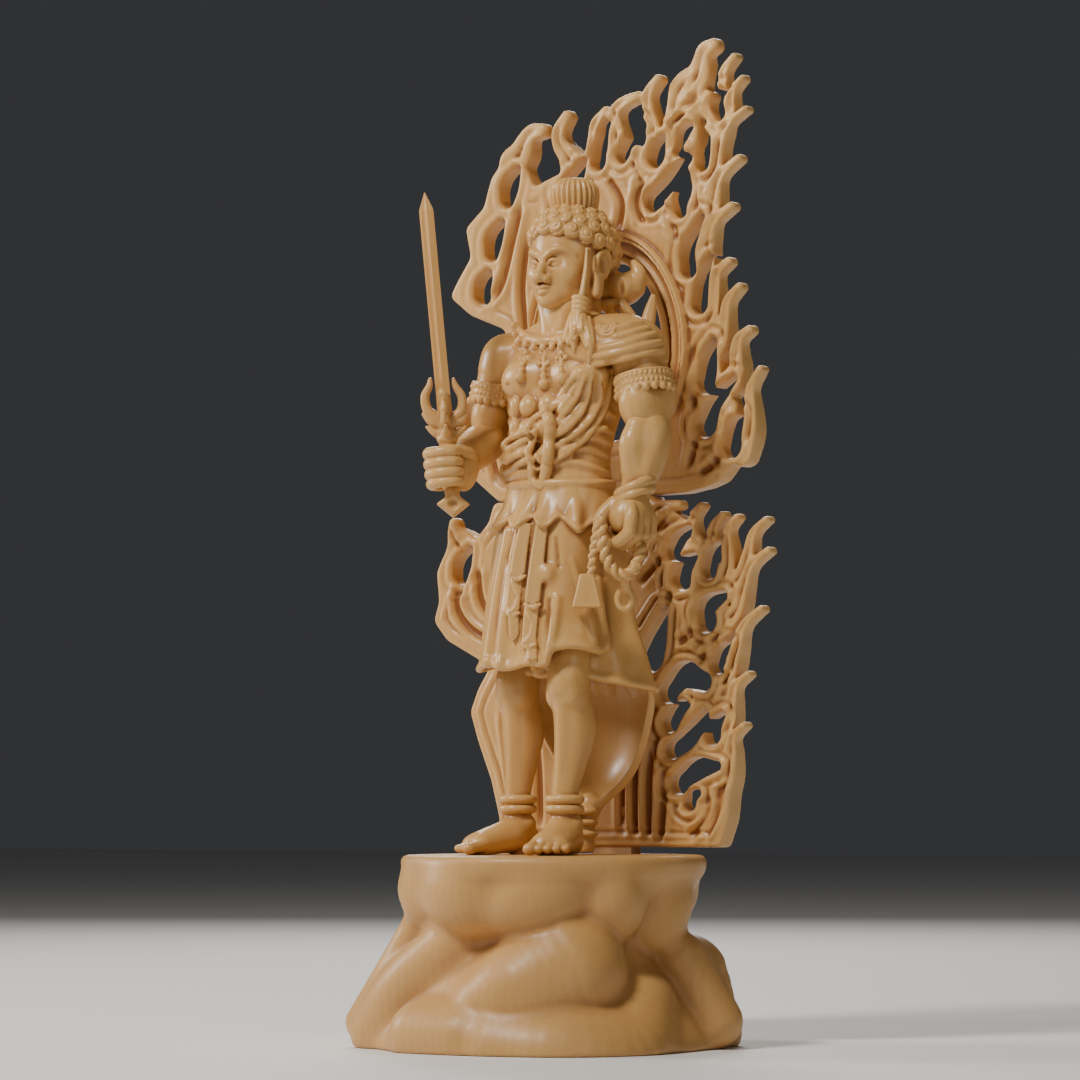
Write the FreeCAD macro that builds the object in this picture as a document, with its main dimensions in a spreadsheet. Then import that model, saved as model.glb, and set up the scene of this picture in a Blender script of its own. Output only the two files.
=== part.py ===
import FreeCAD, Part

import math
import os

import Sketcher
from FreeCAD import Placement, Rotation, Vector

# A carved guardian figure on a rock pedestal, with a sword, a rope and a
# two-piece flame aureole.  Millimetres, +Z up, the figure faces -Y and its
# left side is +X.  The origin is the centre of the pedestal's underside.
# Levels whose names end in _level are measured up from the soles of the feet.

SIZES = {
    # rock pedestal
    "pedestal_height": 56, "foot_radius": 57.5, "skirting_radius": 52,
    "rock_waist_radius": 39.5, "rock_bulge_radius": 46.5, "rock_top_radius": 45.5,
    "rock_waist_height": 29, "rock_bulge_height": 45,
    # how the pieces are pegged together
    "foot_peg_radius": 2.5, "foot_peg_depth": 12, "foot_peg_grip": 10,
    "peg_clearance": 0.08, "socket_relief": 0.5,
    "dowel_radius": 1.6, "dowel_reach": 6,
    # legs
    "leg_spread": 11.2, "leg_offset": -1.4, "leg_stagger": 2.6, "leg_centre_y": -0.5,
    "ankle_radius": 4.5, "calf_radius": 6.1, "knee_radius": 6.6, "thigh_radius": 7.6,
    "ankle_level": 13, "calf_level": 35, "knee_level": 49,
    "sole_length": 33, "sole_width": 11.5, "instep_level": 10, "splay": 9,
    # skirt and the drape behind the legs
    "leg_top_level": 57, "overskirt_level": 97, "waist_level": 108,
    "hem_half_width": 28, "hem_half_depth": 20.5, "hem_centre_y": 8,
    "overskirt_half_width": 20.5, "overskirt_half_depth": 15.5,
    "waist_half_width": 18, "waist_half_depth": 12.5, "waist_centre_y": 6.5,
    "drape_foot_level": 16, "drape_foot_half_width": 6, "drape_thickness": 4,
    # torso, arms and head
    "rib_level": 122, "chest_level": 139, "shoulder_level": 148, "collar_level": 155,
    "neck_level": 163, "rib_half_width": 16.5, "chest_half_width": 20, "chest_half_depth": 13,
    "chest_centre_y": 9, "neck_radius": 8,
    "shoulder_spread": 23, "shoulder_offset": 2.5, "upper_arm_radius": 8, "elbow_radius": 6.2,
    "elbow_level": 124, "elbow_y": 6, "right_elbow_x": -25, "left_elbow_x": 32.5,
    "wrist_radius": 4.6, "axis_x": 0.5,
    "head_centre_y": 10.5, "head_half_width": 13, "head_half_depth": 14.5,
    "head_half_height": 15.5, "head_centre_level": 175,
    "bun_radius": 7.3, "bun_height": 7, "bun_level": 194,
    "lock_top_radius": 2, "lock_radius": 2.6, "lock_tie_radius": 3.4, "lock_tip_radius": 2.8,
    "bow_x": 10, "bow_half_width": 8, "bow_half_depth": 5.5, "bow_half_height": 6,
    # hands, sword and rope
    "fist_radius": 6.6, "fist_x": -20, "fist_y": -21.5, "fist_level": 113,
    "hand_x": 28.4, "hand_y": 0, "hand_level": 96, "hand_radius": 7.2,
    "sword_lean_x": -0.075, "sword_lean_y": -0.055,
    "grip_radius": 1.7, "grip_length": 11,
    "guard_height": 17, "guard_seat_gap": 0.06, "guard_radius": 5,
    "blade_length": 58.5, "blade_width": 5, "blade_thickness": 2.6, "point_length": 5,
    "pommel_length": 7.5, "pommel_radius": 3.6, "pommel_seat_depth": 1.2,
    "rope_radius": 1.9, "weight_height": 10, "weight_width": 8.6, "weight_top_width": 4,
    # flame aureole
    "aureole_front_y": 31, "board_thickness": 8, "board_gap": 2,
    "aureole_width": 124, "aureole_height": 243, "board_joint_level": 107,
    "window_half_width": 19.5, "window_half_height": 27, "window_level": 151,
    "tenon_width": 14, "tenon_thickness": 5, "tenon_depth": 12, "tenon_grip": 12,
    "board_dowel_radius": 1.6, "board_dowel_reach": 7, "board_dowel_spacing": 30,
}

# The flame boards are drawn at this size and then stretched to the sheet's
# aureole_width and aureole_height.  Points are (x, level).
DRAWN_WIDTH = 124.0
DRAWN_HEIGHT = 243.0
DRAWN_JOINT = 107.0

UPPER_SHEET = [
    (34, 107), (-42, 107), (-50, 113), (-57, 119), (-59, 127), (-58, 135), (-50, 144),
    (-41, 149), (-39, 155), (-40, 160), (-53, 165), (-61, 171), (-58, 176), (-53, 183),
    (-55, 192), (-48, 198), (-45, 207), (-36, 217), (-29, 203), (-15, 208), (0, 212),
    (14, 212), (28, 224), (34, 226), (32, 204), (36, 197), (35, 185), (32, 168), (36, 161),
    (40, 152), (41, 140), (46, 133), (48, 118), (40, 109),
]
LOWER_SHEET = [
    (39, 2), (-41, 2), (-42, 11), (-45, 22), (-50, 34), (-53, 43), (-50, 50), (-46, 56),
    (-50, 59), (-62, 65), (-67, 71), (-65, 77), (-66, 86), (-61, 95), (-58, 101), (-51, 96),
    (-46, 101), (-44, 107), (15, 107), (26, 100), (36, 92), (42, 84), (43, 75), (42, 64),
    (44, 56), (43, 44), (45, 27), (42, 10),
]
# Each flame tongue: root, bend and tip, then its half-width at each of them.
UPPER_TONGUES = [
    ((-37, 211), (-32, 217), (-25, 220), 5, 4.5, 3.5),
    ((-14, 207), (-19, 215), (-16, 223), 5, 3.5, 3.2),
    ((-9, 208), (-7, 216), (-2, 224), 3.5, 2.6, 2.2),
    ((2, 207), (1, 221), (10, 227), 4, 3.2, 2.6),
    ((15, 208), (14, 222), (18, 231), 4, 2.6, 2.6),
    ((20, 212), (23, 223), (31, 232), 4.5, 3.8, 5),
    ((29, 228), (33, 235), (38, 239), 5, 4.2, 3.6),
    ((37, 215), (40, 226), (44, 235), 3, 2.2, 2),
    ((38, 210), (43, 220), (48, 228), 3, 2.4, 1.8),
    ((34, 198), (39, 209), (49, 219), 5, 3, 1.8),
    ((32, 181), (37, 194), (46, 205), 5, 3.8, 2.2),
    ((31, 167), (35, 181), (44, 191), 4, 3.3, 2.4),
    ((33, 154), (37, 167), (42, 175), 5, 3, 2.4),
    ((37, 149), (41, 158), (47, 167), 3.5, 2.6, 2.2),
    ((43, 139), (45, 148), (50, 154), 4, 3, 2.4),
    ((46, 118), (50, 130), (54, 142), 4, 2.8, 2),
    ((34, 224), (36, 218), (39, 213), 2.4, 2.4, 2.6),
]
UPPER_HOLES = [
    ((-5, 209), (-4, 214), (-1, 220), 3, 2.5, 1),
    ((4, 210), (7, 214), (12, 218), 2.6, 2.4, 1.2),
    ((25, 210), (26, 214), (29, 217), 2.6, 2.4, 1),
    ((15, 195), (20, 199), (28, 207), 3.2, 3, 1.6),
    ((28, 174), (28, 180), (33, 189), 3, 2.7, 1.2),
    ((32, 163), (33, 170), (36, 177), 3, 2.6, 1),
    ((34, 140), (35, 146), (37, 152), 4, 3.2, 1),
    ((34, 127), (37, 133), (44, 140), 4, 3.2, 1.5),
    ((43, 120), (44, 125), (47, 129), 3.6, 3, 1),
    ((-39, 200), (-38, 204), (-35, 209), 2.8, 3.4, 1.2),
    ((-45, 184), (-44, 188), (-41, 193), 2.8, 3.4, 1.2),
    ((-49, 171), (-48, 174), (-46, 178), 3, 3.3, 1.2),
    ((-54, 131), (-53, 134), (-51, 138), 3, 3.2, 1),
]
LOWER_TONGUES = [
    ((-55, 90), (-58, 95), (-58, 101), 5, 4, 2.4),
    ((27, 90), (29, 96), (33, 103), 3, 2.6, 2),
    ((34, 86), (36, 93), (40, 100), 3, 2.6, 2),
    ((40, 80), (42, 91), (46, 99), 3, 2.4, 1.8),
    ((41, 77), (49, 88), (56, 98), 3, 2.6, 1.8),
    ((40, 67), (47, 78), (56, 89), 3.2, 2.8, 2),
    ((37, 48), (45, 60), (54, 72), 3.5, 2.8, 2),
    ((38, 32), (43, 44), (49, 53), 3, 2.6, 1.8),
    ((38, 16), (43, 29), (48, 38), 3.4, 2.6, 1.8),
]
LOWER_HOLES = [
    ((-57, 85), (-56, 88), (-53, 93), 3, 3.3, 1),
    ((25, 82), (26, 85), (30, 88), 3.8, 3.4, 1.2),
    ((35, 84), (36, 88), (38, 91), 3, 2.8, 1.2),
    ((34, 69), (34, 73), (40, 76), 3.8, 3.4, 1.6),
    ((20, 48), (26, 53), (33, 51), 3.4, 4.2, 3),
    ((22, 31), (28, 35), (33, 41), 3, 3.4, 2),
    ((24, 21), (30, 25), (38, 26), 3.4, 3.6, 1.4),
    ((14, 59), (16, 64), (19, 72), 5, 4, 1.6),
]

DOC = FreeCAD.newDocument("guardian_figure")
SHEET = DOC.addObject("Spreadsheet::Sheet", "Sizes")
for row, (alias, size) in enumerate(SIZES.items(), start=1):
    SHEET.set(f"A{row}", alias)
    SHEET.set(f"B{row}", str(size))
    SHEET.setAlias(f"B{row}", alias)
DOC.recompute()

PIECES = []


def rule(text):
    """An expression in which bare sheet names stand for the sheet's cells."""
    for alias in sorted(SIZES, key=len, reverse=True):
        text = text.replace(f"[{alias}]", f"Sizes.{alias}")
    return text


def size(text):
    """The number that an expression has with the sheet as it is."""
    value = SHEET.evalExpression(rule(text))
    return float(getattr(value, "Value", value))


def level(text):
    """The height above the ground of a level above the soles."""
    return f"[pedestal_height] + {text}"


def bind(item, **rules):
    """Bind properties to the sheet; a double underscore stands for a dot."""
    for name, text in rules.items():
        item.setExpression(name.replace("__", "."), rule(text))
    return item


def place(item, x, y, z):
    return bind(item, Placement__Base__x=x, Placement__Base__y=y, Placement__Base__z=z)


def point(place_rules):
    return Vector(*[size(text) for text in place_rules])


def node(item, label):
    """Name a finished piece; its label is its file's name."""
    item.Label = label
    PIECES.append(item)
    return item


def ball(name, where, radius):
    item = DOC.addObject("Part::Sphere", name)
    bind(item, Radius=radius)
    return place(item, *where)


def egg(name, where, half_x, half_y, half_z):
    item = DOC.addObject("Part::Ellipsoid", name)
    bind(item, Radius1=half_z, Radius2=half_x, Radius3=half_y)
    return place(item, *where)


def rod(name, where, radius, length, along=Vector(0, 0, 1)):
    item = DOC.addObject("Part::Cylinder", name)
    bind(item, Radius=radius, Height=length)
    item.Placement = Placement(Vector(), Rotation(Vector(0, 0, 1), along))
    return place(item, *where)


def block(name, corner, length, width, height):
    item = DOC.addObject("Part::Box", name)
    bind(item, Length=length, Width=width, Height=height)
    return place(item, *corner)


def loft(name, sections):
    item = DOC.addObject("Part::Loft", name)
    item.Sections = sections
    item.Solid = True
    item.Ruled = False
    return item


def stack(name, rows):
    """A loft through level ellipses: (x, y, z, half width, half depth)."""
    sections = []
    for index, (x, y, z, half_x, half_y) in enumerate(rows):
        wide = size(half_x) >= size(half_y)
        item = DOC.addObject("Part::Ellipse", f"{name}_section{index}")
        major, minor = (half_x, half_y) if wide else (half_y, half_x)
        bind(item, MajorRadius=major, MinorRadius=minor)
        item.Placement.Rotation = Rotation(Vector(0, 0, 1), 0 if wide else 90)
        place(item, x, y, z)
        sections.append(item)
    return loft(name, sections)


def limb(name, stations):
    """A loft through circles square to a path: ((x, y, z), radius)."""
    path = [point(where) for where, _ in stations]
    sections = []
    heading, turn = Vector(0, 0, 1), Rotation()
    for index, (where, radius) in enumerate(stations):
        onward = path[min(index + 1, len(path) - 1)] - path[max(index - 1, 0)]
        turn = Rotation(heading, onward) * turn
        heading = onward
        item = DOC.addObject("Part::Circle", f"{name}_ring{index}")
        bind(item, Radius=radius)
        item.Placement.Rotation = turn
        place(item, *where)
        sections.append(item)
    return loft(name, sections)


def fuse(name, *shapes):
    item = DOC.addObject("Part::MultiFuse", name)
    item.Shapes = list(shapes)
    return item


def cut(name, base, *tools):
    for index, tool in enumerate(tools):
        item = DOC.addObject("Part::Cut", f"{name}_cut{index}")
        item.Base = base
        item.Tool = tool
        base = item
    return base


def polygon_sketch(body, name, plane, loops):
    """A sketch of closed outlines whose corners are bound to the sheet."""
    sketch = body.newObject("Sketcher::SketchObject", name)
    role = next(f for f in body.Origin.OriginFeatures if f.Role == plane)
    sketch.AttachmentSupport = (role, [""])
    sketch.MapMode = "FlatFace"
    for corners in loops:
        spots = [Vector(size(x), size(y), 0) for x, y in corners]
        first = sketch.GeometryCount
        for index, spot in enumerate(spots):
            sketch.addGeometry(Part.LineSegment(spot, spots[(index + 1) % len(spots)]))
        for index, (x, y) in enumerate(corners):
            line = first + index
            following = first + (index + 1) % len(corners)
            sketch.addConstraint(Sketcher.Constraint("Coincident", line, 2, following, 1))
            for kind, text in (("DistanceX", x), ("DistanceY", y)):
                number = sketch.addConstraint(
                    Sketcher.Constraint(kind, -1, 1, line, 1, size(text)))
                sketch.setExpression(f"Constraints[{number}]", rule(text))
    return sketch


def body_of(name):
    return DOC.addObject("PartDesign::Body", name)


# ---------------------------------------------------------------- pedestal
LEG_SIDES = {"right": "-1", "left": "1"}


def leg_spot(side, along=0):
    """Where a leg stands; along moves it forwards (-Y) from the ankle."""
    sign = LEG_SIDES[side]
    x = f"[leg_offset] + {sign} * [leg_spread]"
    y = f"[leg_centre_y] - {sign} * [leg_stagger] - {along}"
    return x, y


def rock_pedestal():
    rock = stack("rock_blank", [
        ("0", "0", "0", "[foot_radius]", "[foot_radius]"),
        ("0", "0", "8", "[skirting_radius] + 3.5", "[skirting_radius] + 3.5"),
        ("0", "0", "18", "[skirting_radius] - 4", "[skirting_radius] - 4"),
        ("0", "0", "[rock_waist_height]", "[rock_waist_radius]", "[rock_waist_radius]"),
        ("0", "0", "[rock_bulge_height]", "[rock_bulge_radius]", "[rock_bulge_radius]"),
        ("0", "0", "[pedestal_height]", "[rock_top_radius]", "[rock_top_radius]"),
    ])
    sockets = []
    for side in LEG_SIDES:
        x, y = leg_spot(side)
        depth = "[foot_peg_depth] + [socket_relief]"
        sockets.append(rod(f"{side}_foot_socket", (x, y, f"[pedestal_height] - ({depth})"),
                           "[foot_peg_radius] + [peg_clearance]", depth))
    mortise = block("aureole_mortise", (
        "-[tenon_width] / 2 - [peg_clearance]",
        "[aureole_front_y] + [board_thickness] / 2 - [tenon_thickness] / 2 - [peg_clearance]",
        "[pedestal_height] - [tenon_depth]"),
        "[tenon_width] + 2 * [peg_clearance]", "[tenon_thickness] + 2 * [peg_clearance]",
        "[tenon_depth]")
    node(cut("rock", rock, *sockets, mortise), "rock_pedestal")


# ------------------------------------------------------------ legs and feet
def foot_pegs():
    pegs = []
    for side in LEG_SIDES:
        x, y = leg_spot(side)
        pegs.append(rod(f"{side}_foot_peg", (x, y, level("-[foot_peg_depth]")),
                        "[foot_peg_radius]", "[foot_peg_depth] + [foot_peg_grip]"))
    return node(fuse("foot_peg_pair", *pegs), "foot_pegs")


def legs(pegs, dowels):
    for side in LEG_SIDES:
        x, y = leg_spot(side)
        calf = limb(f"{side}_shin", [
            ((x, y, level("3")), "[ankle_radius]"),
            ((x, y, level("[ankle_level]")), "[ankle_radius]"),
            ((x, f"{y} + 1", level("[calf_level]")), "[calf_radius]"),
            ((x, y, level("[knee_level]")), "[knee_radius]"),
            ((x, y, level("[leg_top_level]")), "[thigh_radius]"),
        ])
        foot = DOC.addObject("Part::Ellipsoid", f"{side}_foot")
        bind(foot, Radius1="[instep_level]", Radius2="[sole_width] / 2",
             Radius3="[sole_length] / 2", Angle1="0")
        turn = size(f"-{LEG_SIDES[side]} * [splay]")
        foot.Placement.Rotation = Rotation(Vector(0, 0, 1), -turn)
        middle = "[sole_length] / 2 - 5"
        place(foot, f"{x} + {LEG_SIDES[side]} * ({middle}) * sin([splay])",
              f"{y} - ({middle})", level("0"))
        whole = fuse(f"{side}_leg_blank", calf, foot)
        node(cut(f"{side}_leg", whole, pegs, dowels), f"{side}_leg")


def leg_dowels():
    pair = []
    for side in LEG_SIDES:
        x, y = leg_spot(side)
        pair.append(rod(f"{side}_leg_dowel",
                        (x, y, level("[leg_top_level] - [dowel_reach]")),
                        "[dowel_radius]", "2 * [dowel_reach]"))
    return node(fuse("leg_dowel_pair", *pair), "leg_dowels")


# ------------------------------------------------------------------- skirt
def skirt(dowels, belly_dowel):
    gown = stack("skirt_blank", [
        ("[axis_x]", "[hem_centre_y]", level("[leg_top_level]"),
         "[hem_half_width]", "[hem_half_depth]"),
        ("[axis_x]", "[hem_centre_y] - 0.5", level("[leg_top_level] + 17"),
         "[hem_half_width] - 4", "[hem_half_depth] - 3"),
        ("0", "[waist_centre_y] + 0.5", level("[overskirt_level]"),
         "[overskirt_half_width]", "[overskirt_half_depth]"),
        ("0", "[waist_centre_y]", level("[waist_level]"),
         "[waist_half_width]", "[waist_half_depth]"),
    ])
    node(cut("gown", gown, dowels, belly_dowel), "skirt")


def rear_drape():
    """The shell of cloth that hangs behind the legs and narrows downwards."""
    outer = stack("drape_outer", [
        ("[axis_x]", "[hem_centre_y] + 4", level("[drape_foot_level]"),
         "[drape_foot_half_width] + 4", "[hem_half_depth] - 8"),
        ("[axis_x]", "[hem_centre_y] + 2", level("[drape_foot_level] + 20"),
         "[hem_half_width] - 11", "[hem_half_depth] - 4"),
        ("[axis_x]", "[hem_centre_y]", level("[leg_top_level]"),
         "[hem_half_width] - 0.5", "[hem_half_depth] - 0.5"),
    ])
    inner = stack("drape_inner", [
        ("[axis_x]", "[hem_centre_y] + 4", level("[drape_foot_level] - 2"),
         "[drape_foot_half_width] + 2", "[hem_half_depth] - 8 - [drape_thickness]"),
        ("[axis_x]", "[hem_centre_y] + 2", level("[drape_foot_level] + 20"),
         "[hem_half_width] - 11 - [drape_thickness] / 2",
         "[hem_half_depth] - 4 - [drape_thickness]"),
        ("[axis_x]", "[hem_centre_y]", level("[leg_top_level] + 2"),
         "[hem_half_width] - 0.5 - [drape_thickness] / 2",
         "[hem_half_depth] - 0.5 - [drape_thickness]"),
    ])
    front = block("drape_front", ("-2 * [hem_half_width]", "[hem_centre_y] - 3 * [hem_half_depth]",
                                  "0"),
                  "4 * [hem_half_width]", "3 * [hem_half_depth] + 4", level("[waist_level]"))
    node(cut("drape", outer, inner, front), "rear_drape")


# ------------------------------------------------------------------- torso
ARM_SIGNS = {"right": "-1", "left": "1"}


def shoulder(side):
    sign = ARM_SIGNS[side]
    return (f"[shoulder_offset] + {sign} * [shoulder_spread]", "[chest_centre_y] + 0.5",
            level("[shoulder_level]"))


def shoulder_dowels():
    pair = []
    for side, sign in ARM_SIGNS.items():
        x, y, z = shoulder(side)
        inboard = f"1.5 + {sign} * [chest_half_width] - [dowel_reach]"
        pair.append(rod(f"{side}_shoulder_dowel", (inboard, y, f"{z} - 3"),
                        "[dowel_radius]", "2 * [dowel_reach]", Vector(1, 0, 0)))
    return node(fuse("shoulder_dowel_pair", *pair), "shoulder_dowels")


def upright_dowel(label, x, y, middle):
    reach = "[dowel_reach]"
    return node(rod(f"{label}_rod", (x, y, f"{middle} - {reach}"), "[dowel_radius]",
                    f"2 * {reach}"), label)


def torso(*dowels):
    trunk = stack("trunk", [
        ("0", "[waist_centre_y]", level("[waist_level]"),
         "[waist_half_width] - 0.5", "[waist_half_depth]"),
        ("[axis_x]", "[waist_centre_y] + 1", level("[rib_level]"),
         "[rib_half_width]", "[waist_half_depth] - 0.5"),
        ("1", "[chest_centre_y]", level("[chest_level]"),
         "[chest_half_width]", "[chest_half_depth]"),
        ("1.5", "[chest_centre_y] + 0.5", level("[shoulder_level] + 1"),
         "[chest_half_width]", "[chest_half_depth] - 2"),
        ("1", "[chest_centre_y] + 0.5", level("[collar_level]"),
         "[neck_radius] + 4", "[neck_radius] + 1"),
        ("[axis_x]", "[chest_centre_y] + 0.5", level("[neck_level]"),
         "[neck_radius]", "[neck_radius]"),
    ])
    return node(cut("torso_carving", trunk, *dowels), "torso")


# -------------------------------------------------------------------- arms
def right_arm(body, shoulder_pins, wrist_pins, sword_bore):
    elbow = ("[right_elbow_x]", "[elbow_y]", level("[elbow_level]"))
    wrist = ("[fist_x] - 1.2", "[fist_y] + 5.5", level("[fist_level] + 1.5"))
    fist_spot = ("[fist_x]", "[fist_y]", level("[fist_level]"))
    forearm_blank = fuse("right_forearm_blank", ball("right_elbow", elbow, "[elbow_radius]"), limb(
        "right_forearm_taper", [
            (elbow, "[elbow_radius] - 0.4"),
            (("[right_elbow_x] + 1", "[elbow_y] - 10", level("([elbow_level] + [fist_level] + 2) / 2")),
             "([elbow_radius] + [wrist_radius]) / 2 + 0.4"),
            (wrist, "[wrist_radius]"),
        ]))
    fist = egg("right_fist", fist_spot, "[fist_radius]", "[fist_radius] + 1", "[fist_radius]")
    x, y, z = shoulder("right")
    upper = limb("right_upper_arm_blank", [
        ((x, y, f"{z} + 5"), "[upper_arm_radius] - 3"),
        ((x, y, z), "[upper_arm_radius]"),
        ((f"{x} - 3", f"{y} - 2", f"{z} - 12"), "[upper_arm_radius] - 0.6"),
        (elbow, "[elbow_radius] - 0.3"),
    ])
    node(cut("right_upper", upper, forearm_blank, body, shoulder_pins), "right_upper_arm")
    node(cut("right_fore", forearm_blank, fist, wrist_pins), "right_forearm")
    return node(cut("right_grip", fist, sword_bore, wrist_pins), "right_hand")


def left_arm(body, shoulder_pins, wrist_pins):
    elbow = ("[left_elbow_x]", "[elbow_y]", level("[elbow_level] - 1"))
    wrist = ("[hand_x] + 1.2", "[hand_y] + 2", level("[hand_level] + 6.5"))
    hand_spot = ("[hand_x]", "[hand_y]", level("[hand_level]"))
    forearm_blank = fuse("left_forearm_blank", ball("left_elbow", elbow, "[elbow_radius]"), limb(
        "left_forearm_taper", [
            (elbow, "[elbow_radius] - 0.4"),
            (("[hand_x] + 3", "[hand_y] + 4.5",
              level("([elbow_level] + [hand_level] + 8) / 2")),
             "([elbow_radius] + [wrist_radius]) / 2 + 0.5"),
            (wrist, "[wrist_radius]"),
        ]))
    hand = egg("left_fist", hand_spot, "[hand_radius]", "[hand_radius]", "[hand_radius] + 1.2")
    x, y, z = shoulder("left")
    upper = limb("left_upper_arm_blank", [
        ((x, y, f"{z} + 5"), "[upper_arm_radius] - 3"),
        ((x, y, z), "[upper_arm_radius]"),
        ((f"{x} + 4", f"{y} - 1.5", f"{z} - 12"), "[upper_arm_radius] - 0.4"),
        (elbow, "[elbow_radius] - 0.3"),
    ])
    node(cut("left_upper", upper, forearm_blank, body, shoulder_pins), "left_upper_arm")
    node(cut("left_fore", forearm_blank, hand, wrist_pins), "left_forearm")
    return hand


def wrist_dowels():
    right_spot = ("[fist_x] - 1.2", "[fist_y] + 3.6", level("[fist_level] + 1"))
    left_spot = ("[hand_x] + 0.9", "[hand_y] + 1.5", level("[hand_level] + 4.5"))
    right = rod("right_wrist_dowel", right_spot, "[dowel_radius] - 0.4", "[dowel_reach] + 2",
                Vector(-0.3, 7.5, 1))
    left = rod("left_wrist_dowel", left_spot, "[dowel_radius] - 0.4", "[dowel_reach] + 2",
               Vector(0.8, 1.5, 8))
    return node(fuse("wrist_dowel_pair", right, left), "wrist_dowels")


# -------------------------------------------------------------------- head
def head_and_hair(body, pin):
    spot = ("[axis_x]", "[head_centre_y]", level("[head_centre_level]"))
    skull = egg("skull", spot, "[head_half_width]", "[head_half_depth]", "[head_half_height]")
    head = node(cut("head_carving", skull, body, pin), "head")
    bun = egg("bun", ("[axis_x]", "[head_centre_y] + 2", level("[bun_level]")),
              "[bun_radius]", "[bun_radius]", "[bun_height]")
    node(cut("bun_seat", bun, skull), "topknot")
    lock = limb("hair_lock_blank", [
        (("[axis_x] + [head_half_width] - 2", "[head_centre_y] - 4", level("[head_centre_level] - 3")),
         "[lock_top_radius]"),
        (("[axis_x] + [head_half_width] + 2", "[head_centre_y] - 9", level("[head_centre_level] - 9")),
         "[lock_radius]"),
        (("[axis_x] + [head_half_width] + 1.5", "[chest_centre_y] - 10.5", level("[collar_level] + 3")),
         "[lock_tie_radius]"),
        (("[axis_x] + [head_half_width] - 0.5", "[chest_centre_y] - 11.5",
          level("[shoulder_level] + 2")), "[lock_tip_radius]"),
    ])
    node(cut("hair_lock_carving", lock, skull, body), "hair_lock")
    bow = egg("nape_bow_blank", ("[bow_x]", "[head_centre_y] + 13", level("[neck_level] + 6")),
              "[bow_half_width]", "[bow_half_depth]", "[bow_half_height]")
    node(cut("nape_bow_carving", bow, skull, body), "nape_bow")
    return head


# ------------------------------------------------------------------- sword
SWORD_LINE = Vector(SIZES["sword_lean_x"], SIZES["sword_lean_y"], 1).normalize()


def along_sword(distance):
    """A point on the sword's line, measured up from the middle of the fist."""
    lean = "sqrt([sword_lean_x] ^ 2 + [sword_lean_y] ^ 2 + 1)"
    return (f"[fist_x] + [sword_lean_x] / {lean} * ({distance})",
            f"[fist_y] + [sword_lean_y] / {lean} * ({distance})",
            level(f"[fist_level] + ({distance}) / {lean}"))


def set_on_sword(item, distance):
    item.Placement = Placement(Vector(), Rotation(Vector(0, 0, 1), SWORD_LINE))
    return place(item, *along_sword(distance))


def sword():
    grip_foot = "-[grip_length] / 2"
    guard_foot = "([fist_radius] + [guard_seat_gap])"
    guard = body_of("guard_turning")
    profile = polygon_sketch(guard, "guard_profile", "XZ_Plane", [[
        ("0", grip_foot), ("[grip_radius]", grip_foot), ("[grip_radius]", guard_foot),
        ("[guard_radius] - 1.5", f"{guard_foot} + 1"), ("[guard_radius] - 0.6", f"{guard_foot} + 3"),
        ("[guard_radius] - 2", f"{guard_foot} + 5"), ("[guard_radius]", f"{guard_foot} + 9"),
        ("[guard_radius] - 0.6", f"{guard_foot} + 13"),
        ("[blade_width] / 2 + 0.8", f"{guard_foot} + [guard_height]"),
        ("0", f"{guard_foot} + [guard_height]"),
    ]])
    turning = guard.newObject("PartDesign::Revolution", "guard_turned")
    turning.Profile = profile
    turning.ReferenceAxis = (profile, ["V_Axis"])
    turning.Angle = 360
    guard.Tip = turning
    node(set_on_sword(guard, "0"), "sword_guard")

    blade = body_of("blade_bar")
    half_width = "[blade_width] / 2"
    section = polygon_sketch(blade, "blade_section", "XY_Plane", [[
        (half_width, "0"), ("0", "[blade_thickness] / 2"),
        (f"-{half_width}", "0"), ("0", "-[blade_thickness] / 2"),
    ]])
    bar = blade.newObject("PartDesign::Pad", "blade_length")
    bar.Profile = section
    bind(bar, Length="[blade_length]")
    shoulder_level = "[blade_length] - [point_length]"
    outside = "[blade_width]"
    corners = polygon_sketch(blade, "point_cuts", "XZ_Plane", [
        [("0", "[blade_length]"), (half_width, shoulder_level), (outside, shoulder_level),
         (outside, "[blade_length] + 1"), ("0", "[blade_length] + 1")],
        [("-0.01", "[blade_length]"), (f"-{half_width}", shoulder_level),
         (f"-{outside}", shoulder_level), (f"-{outside}", "[blade_length] + 1"),
         ("-0.01", "[blade_length] + 1")],
    ])
    point_cut = blade.newObject("PartDesign::Pocket", "blade_point")
    point_cut.Profile = corners
    point_cut.Type = "ThroughAll"
    point_cut.Midplane = True
    blade.Tip = point_cut
    node(set_on_sword(blade, f"{guard_foot} + [guard_height]"), "sword_blade")

    pommel = body_of("pommel_turning")
    bore_radius = "[grip_radius] + [peg_clearance]"
    top = f"{grip_foot} - [guard_seat_gap]"
    seat = "-[fist_radius]"
    sunk = f"{seat} + [pommel_seat_depth]"
    lower = f"{seat} - [pommel_length]"
    profile = polygon_sketch(pommel, "pommel_profile", "XZ_Plane", [[
        ("0", top), (bore_radius, top), (bore_radius, sunk), ("[pommel_radius] - 1", sunk),
        ("[pommel_radius] - 1", f"{seat} - 1.5"), ("[pommel_radius]", f"{seat} - 3.5"),
        ("[pommel_radius] - 1.2", f"{lower} + 1.5"), ("0.6", lower), ("0", lower),
    ]])
    turning = pommel.newObject("PartDesign::Revolution", "pommel_turned")
    turning.Profile = profile
    turning.ReferenceAxis = (profile, ["V_Axis"])
    turning.Angle = 360
    pommel.Tip = turning
    return set_on_sword(pommel, "0")


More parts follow.
